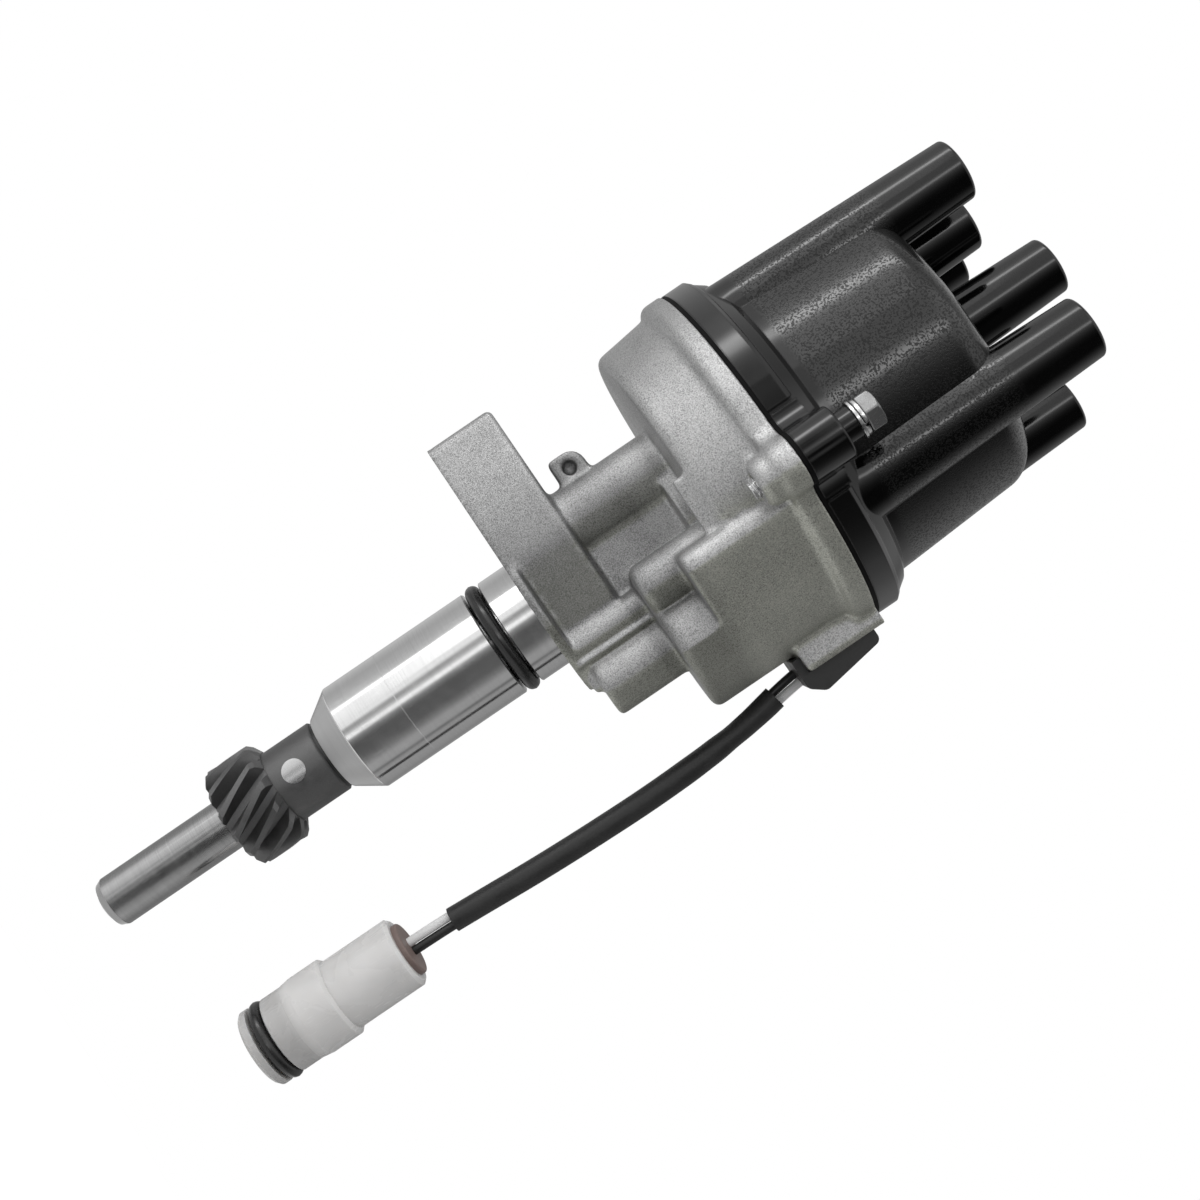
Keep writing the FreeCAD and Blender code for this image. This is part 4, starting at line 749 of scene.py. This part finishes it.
def casting():
    """Housing with the soft edges of a casting.

    A skin of small voxels over the solid, each point moved several times towards the mean of its
    neighbours, except where it is machined. The barrel is cut off, for it is a turned piece.
    """
    seat, lip_top, barrel_end = 0.3 * mm, 62.7 * mm, -0.4 * mm
    collar_radius, bore_radius, inset = 14 * mm, 10 * mm, 0.985
    hole_x, hole_z, hole_reach = -23 * mm, 24.6 * mm, 2.6 * mm
    triangles = 190000
    skin = settled(merged("housing"), ("REMESH", {"mode": "VOXEL", "voxel_size": 0.5 * mm}))
    co = coordinates(skin)
    machined = (co[:, 2] < seat) | (co[:, 2] > lip_top)
    hole = np.hypot(co[:, 0] - hole_x, co[:, 2] - hole_z) < hole_reach
    weight = np.where(machined, 0.0, np.where(hole, 0.4, 1.0))
    relax(skin, weight, 7)
    work = bmesh.new()
    work.from_mesh(skin)
    below = [f for f in work.faces
             if all(v.co.z < barrel_end and v.co.xy.length < collar_radius for v in f.verts)]
    bmesh.ops.delete(work, geom=below, context="FACES")
    rims = [e for e in work.edges if e.is_boundary]
    bmesh.ops.bridge_loops(work, edges=rims)
    work.to_mesh(skin)
    work.free()
    co = coordinates(skin)
    radius = np.hypot(co[:, 0], co[:, 1])
    edge = (co[:, 2] < barrel_end / 2) & (radius > bore_radius) & (radius < collar_radius)
    co[edge, :2] *= inset
    move_to(skin, co)
    share = triangles / max(len(skin.polygons) * 2, 1)
    skin = settled(skin, ("DECIMATE", {"ratio": share}))
    shade_round(skin, 60)
    cast = finishes["cast_aluminium"]
    hold("housing_casting", skin, cast, "housing_body", "cast_aluminium", "housing")


def turned_barrel():
    """Turned spigot: its profile goes round the shaft axis.

    From its lower end up the profile has the cone, the plain land with a faint tool lift line, the
    O-ring groove and the collar, and it comes back down the bore.
    """
    land, groove, bore, bush_seat = 13.5, 9.75, 7.5, 8.02
    profile = [(bush_seat, -57.4), (9.15, -57.4), (9.3, -57.25), (13.4, -51.1), (land, -50.9)]
    profile += [(land, -36.8), (13.46, -36.75), (13.46, -36.65), (land, -36.6)]
    profile += [(land, -12.5), (13.2, -12.2), (groove + 0.4, -12.2), (groove, -11.8)]
    profile += [(groove, -8.3), (groove + 0.4, -7.9), (13.25, -7.9), (land, -7.65), (land, 1.0)]
    profile += [(bore, 1.0), (bore, -37.4), (bush_seat, -37.4)]
    mesh = lathe("turned_barrel", profile, 256, loop=True)
    hold("turned_barrel", mesh, turned, "housing_body", "cast_aluminium", "housing")


def ring_piece(name, node, centre, section, z, x=0.0):
    """O-ring: a round section carried round an upright axis.

    The section's radius swells by a narrow bell curve on its outside, the flash line of its mould.
    """
    flash_height, flash_width = 0.035, 0.09
    turn = np.linspace(0, 2 * math.pi, 40, endpoint=False)
    from_outside = (turn + math.pi) % (2 * math.pi) - math.pi
    swell = 1 - flash_height + flash_height * np.exp(-(from_outside / flash_width) ** 2)
    r = centre + section * swell * np.cos(turn)
    profile = np.stack([r, z + section * np.sin(turn)], 1)
    mesh = lathe(name, profile, 160, x=x, loop=True, degrees=80)
    return hold(name, mesh, finishes["seal_rubber"], body_of[node], "seal_rubber", node)


def standing(x, y, radius, turn, height):
    """Points round an upright axis through x and y, in metres, from values in millimetres."""
    return np.stack([x + radius * np.cos(turn), y + radius * np.sin(turn), height], -1) * mm


def screw_piece(side, x, y):
    """Hex head with its chamfer, and a threaded shank.

    The head's radius at a turn is the apothem over the cosine of the angle to the nearest flat. The
    shank's radius is a core plus a clipped triangle wave of height over pitch less the turn.
    """
    turn = np.linspace(0, 2 * math.pi, 240, endpoint=False)
    apothem, corner, foot, top, chamfer, dish = 4.0, 1.13, 79.3, 82.9, 0.22, 0.25
    to_flat = (turn + math.pi / 6) % (math.pi / 3) - math.pi / 6
    hexed = np.minimum(apothem / np.cos(to_flat), apothem * corner)
    shoulder = top - 0.1 - np.maximum(0, hexed - 4.05) * 0.9
    rows = [(0, foot), (hexed - chamfer, foot), (hexed, foot + chamfer), (hexed, shoulder),
            (np.minimum(hexed, apothem) * 0.97, top), (2.9, top), (2.5, top - dish), (0, top - dish)]
    points = np.stack([standing(x, y, r + 0 * turn, turn, z + 0 * turn) for r, z in rows])
    head = grid_mesh("cap_screw_head_" + side, points, degrees=18)
    core, thread, pitch, tip = 1.95, 0.5, 0.8, 51.7
    turn = turn[::4]
    height = np.arange(tip, foot + 0.1, 0.1)[:, None]
    wave = np.abs(((height / pitch - turn / (2 * math.pi)) % 1) * 2 - 1)
    fade = np.clip((height - tip) / 0.5, 0, 1)
    r = (core + thread * np.clip(wave * 1.25 - 0.1, 0, 1)) * (0.8 + 0.2 * fade)
    shank = grid_mesh("cap_screw_shank_" + side, standing(x, y, r, turn, height + 0 * r))
    # The shank is the same zinc as the head but brighter, a painted glint on its threads.
    for label, mesh, coat in (("head", head, finishes["zinc_steel"]), ("shank", shank, bright_zinc_and_painted_glint)):
        name = "cap_screw_%s_%s" % (label, side)
        hold(name, mesh, coat, "housing_body", "zinc_steel", "cap_screw_" + side)


def washer_piece(side, x, y):
    """Split spring washer over a flat one.

    The split one is a near square section carried almost once round, its height rising evenly with
    the turn. The flat one is a closed profile carried round.
    """
    foot, climb = 78.2, 0.3
    turn = np.linspace(math.radians(-55), math.radians(295), 96)[:, None]
    section = [(2.65, 0.02), (2.6, 0.4), (2.65, 0.78), (4.15, 0.78), (4.2, 0.4), (4.15, 0.02)]
    r, z = np.array(section).T
    rise = climb * (turn - turn[0]) / (turn[-1] - turn[0])
    mesh = grid_mesh("lock_washer_" + side, standing(x, y, r, turn, foot + z + rise))
    hold("lock_washer_" + side, mesh, bright_zinc_and_painted_glint, "housing_body", "zinc_steel", "spring_washer_" + side)
    rim = [(2.6, 77.42), (4.4, 77.42), (4.5, 77.52), (4.5, 78.05), (4.35, 78.18), (2.7, 78.18)]
    mesh = lathe("flat_washer_" + side, rim + [(2.6, 78.08)], 96, x, y, loop=True)
    hold("flat_washer_" + side, mesh, bright_zinc_and_painted_glint, "housing_body", "zinc_steel", "plain_washer_" + side)


def brush_spring():
    """Coil spring between brush and terminal, built at one length: it does not shorten as the brush goes
    in.

    A round section carried up a helix, in the plane across the wire: the way out from the axis and
    the way across both that and the wire.
    """
    foot, top, travel = 93.7, 102.3, 1.5
    coil, section, turns = 1.8, 0.3, 5
    turn = np.linspace(0, 2 * math.pi * turns, 32 * turns + 1)
    rise = (top - foot - 2 * section) / (2 * math.pi * turns)
    outward = np.stack([np.cos(turn), np.sin(turn), 0 * turn], -1)
    ahead = np.stack([-coil * np.sin(turn), coil * np.cos(turn), 0 * turn + rise], -1)
    upward = np.cross(outward, ahead / math.hypot(coil, rise))
    line = coil * outward + np.array([0, 0, 1]) * (foot + section + rise * turn)[:, None]
    around = np.linspace(0, 2 * math.pi, 12, endpoint=False)[:, None]
    ring = outward[:, None] * np.cos(around) + upward[:, None] * np.sin(around)
    mesh = grid_mesh("brush_coil", (line[:, None] + section * ring) * mm, degrees=50)
    piece = hold("brush_coil", mesh, bright_zinc_and_painted_glint, "housing_body", "zinc_steel", "brush_spring")
    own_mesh(piece)


# Lead

# Control points of the line midway between the two wires, from the shelf down to the plug, and how
# far the pair has turned round it there, in degrees.
route = [(45.9, 41.0), (46.5, 35.6), (48.1, 27.6), (49.3, 15.4), (49.8, -1.0),
         (49.5, -17.6), (48.9, -33.6), (47.9, -48.4), (47.3, -59.0), (47.2, -69.1)]
twist = [0, 0, 20, 50, 80, 105, 130, 160, 180, 180]
wire_radius = 1.1
wire_offset = 1.15


def spline_curve(name, points, bevel):
    """Smooth line with the given control points, in millimetres."""
    curve = bpy.data.curves.new(name, "CURVE")
    curve.dimensions = "3D"
    spline = curve.splines.new("NURBS")
    spline.points.add(len(points) - 1)
    for spot, (x, y, z) in zip(spline.points, points):
        spot.co = (x * mm, y * mm, z * mm, 1)
    spline.order_u = 3
    spline.use_endpoint_u = True
    curve.resolution_u = 24
    curve.bevel_depth = bevel
    curve.bevel_resolution = 6
    curve.use_fill_caps = True
    return curve


def wire(name, turned_by, colour):
    """One wire of the pair, wound half a turn round the other on its way down."""
    points = []
    for (x, z), degrees in zip(route, twist):
        turn = math.radians(turned_by + degrees)
        points.append((x + wire_offset * math.cos(turn), wire_offset * math.sin(turn), z))
    curve = spline_curve(name, points, wire_radius * mm)
    piece = bpy.data.objects.new(name, curve)
    bpy.context.scene.collection.objects.link(piece)
    curve.materials.append(finishes[colour])
    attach(piece, "housing_body")
    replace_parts(piece, name.replace("lead_", "wire_"))
    return piece, points[0]


def follow(points):
    """Points along a smooth line."""
    holder = bpy.data.objects.new("sleeve_line", spline_curve("sleeve_line", points, 0))
    bpy.context.scene.collection.objects.link(holder)
    bpy.context.view_layer.update()
    shape = holder.evaluated_get(bpy.context.evaluated_depsgraph_get())
    line = coordinates(bpy.data.meshes.new_from_object(shape))
    bpy.data.objects.remove(holder)
    return line


def sleeve():
    """Thin vinyl tube over the pair: round at its ends, pressed flatter where the lead bends.

    An ellipse carried along the line. It widens and flattens by a bell curve of the way along, and
    a short sine wave under another bell curve gives the creases beside that.
    """
    points = [(46.78, 0, 34.2)] + [(x, 0, z) for x, z in route[2:8]] + [(47.45, 0, -56.3)]
    line = follow(points)
    ahead = np.gradient(line, axis=0)
    ahead /= np.linalg.norm(ahead, axis=1)[:, None]
    side = np.array([0.0, 1.0, 0.0])
    across = np.cross(side, ahead)
    along = np.linspace(0, 1, len(line))[:, None]
    turn = np.linspace(0, 2 * math.pi, 48, endpoint=False)
    bend, bend_reach, crease, crease_reach, waves = 0.16, 0.09, 0.2, 0.12, 61
    pinch = np.exp(-((along - bend) / bend_reach) ** 2)
    ripple = 0.035 * np.sin(along * waves) * np.exp(-((along - crease) / crease_reach) ** 2)
    outside, inside = 2.95, 2.5
    tubes = []
    for radius in (outside, inside):
        wide = (radius + 0.12 * pinch) * mm
        flat = (radius - 0.28 * pinch + ripple) * mm
        flattened = across[:, None] * (flat * np.cos(turn))[..., None]
        widened = side * (wide * np.sin(turn))[..., None]
        tubes.append(line[:, None] + flattened + widened)
    points = np.concatenate([tubes[0], tubes[1][::-1]])
    mesh = grid_mesh("lead_sleeve", points, loop=True, degrees=50)
    return hold("lead_sleeve", mesh, sleeve_vinyl, "housing_body", "black_insulation", "wire_sleeve")


white, white_exit = wire("lead_white", 0, "white_insulation")
black, black_exit = wire("lead_black", 180, "black_insulation")
tube_piece = sleeve()
plug = dressed("plug_housing")
plug_ring = ring_piece("plug_ring", "plug_o_ring", centre=8.5, section=1.5, z=-105.55, x=47.3)
rear_seal = dressed("plug_rear_seal")
plug_pins = dressed("plug_pins")


# The rest of the part

casting()
turned_barrel()
ring_piece("barrel_ring", "barrel_o_ring", centre=12.35, section=1.75, z=-10.05)
screw_circle = 47
for side, degrees in (("near", -84.5), ("far", 95.5)):
    x = screw_circle * math.cos(math.radians(degrees))
    y = screw_circle * math.sin(math.radians(degrees))
    screw_piece(side, x, y)
    washer_piece(side, x, y)
brush_spring()
own_finish = {"lead_grommet": grommet_rubber, "gear_pin": pin_steel, "cap_gasket": gasket_rubber,
              "thrust_washer": washer_painted_gap_shade}
replaced = {node for piece in bpy.data.objects for node in piece.get("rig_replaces", [])}
for node in sorted(set(frame["nodes"]) - replaced):
    dressed(node, tower_plastic if "tower" in node else own_finish.get(node))
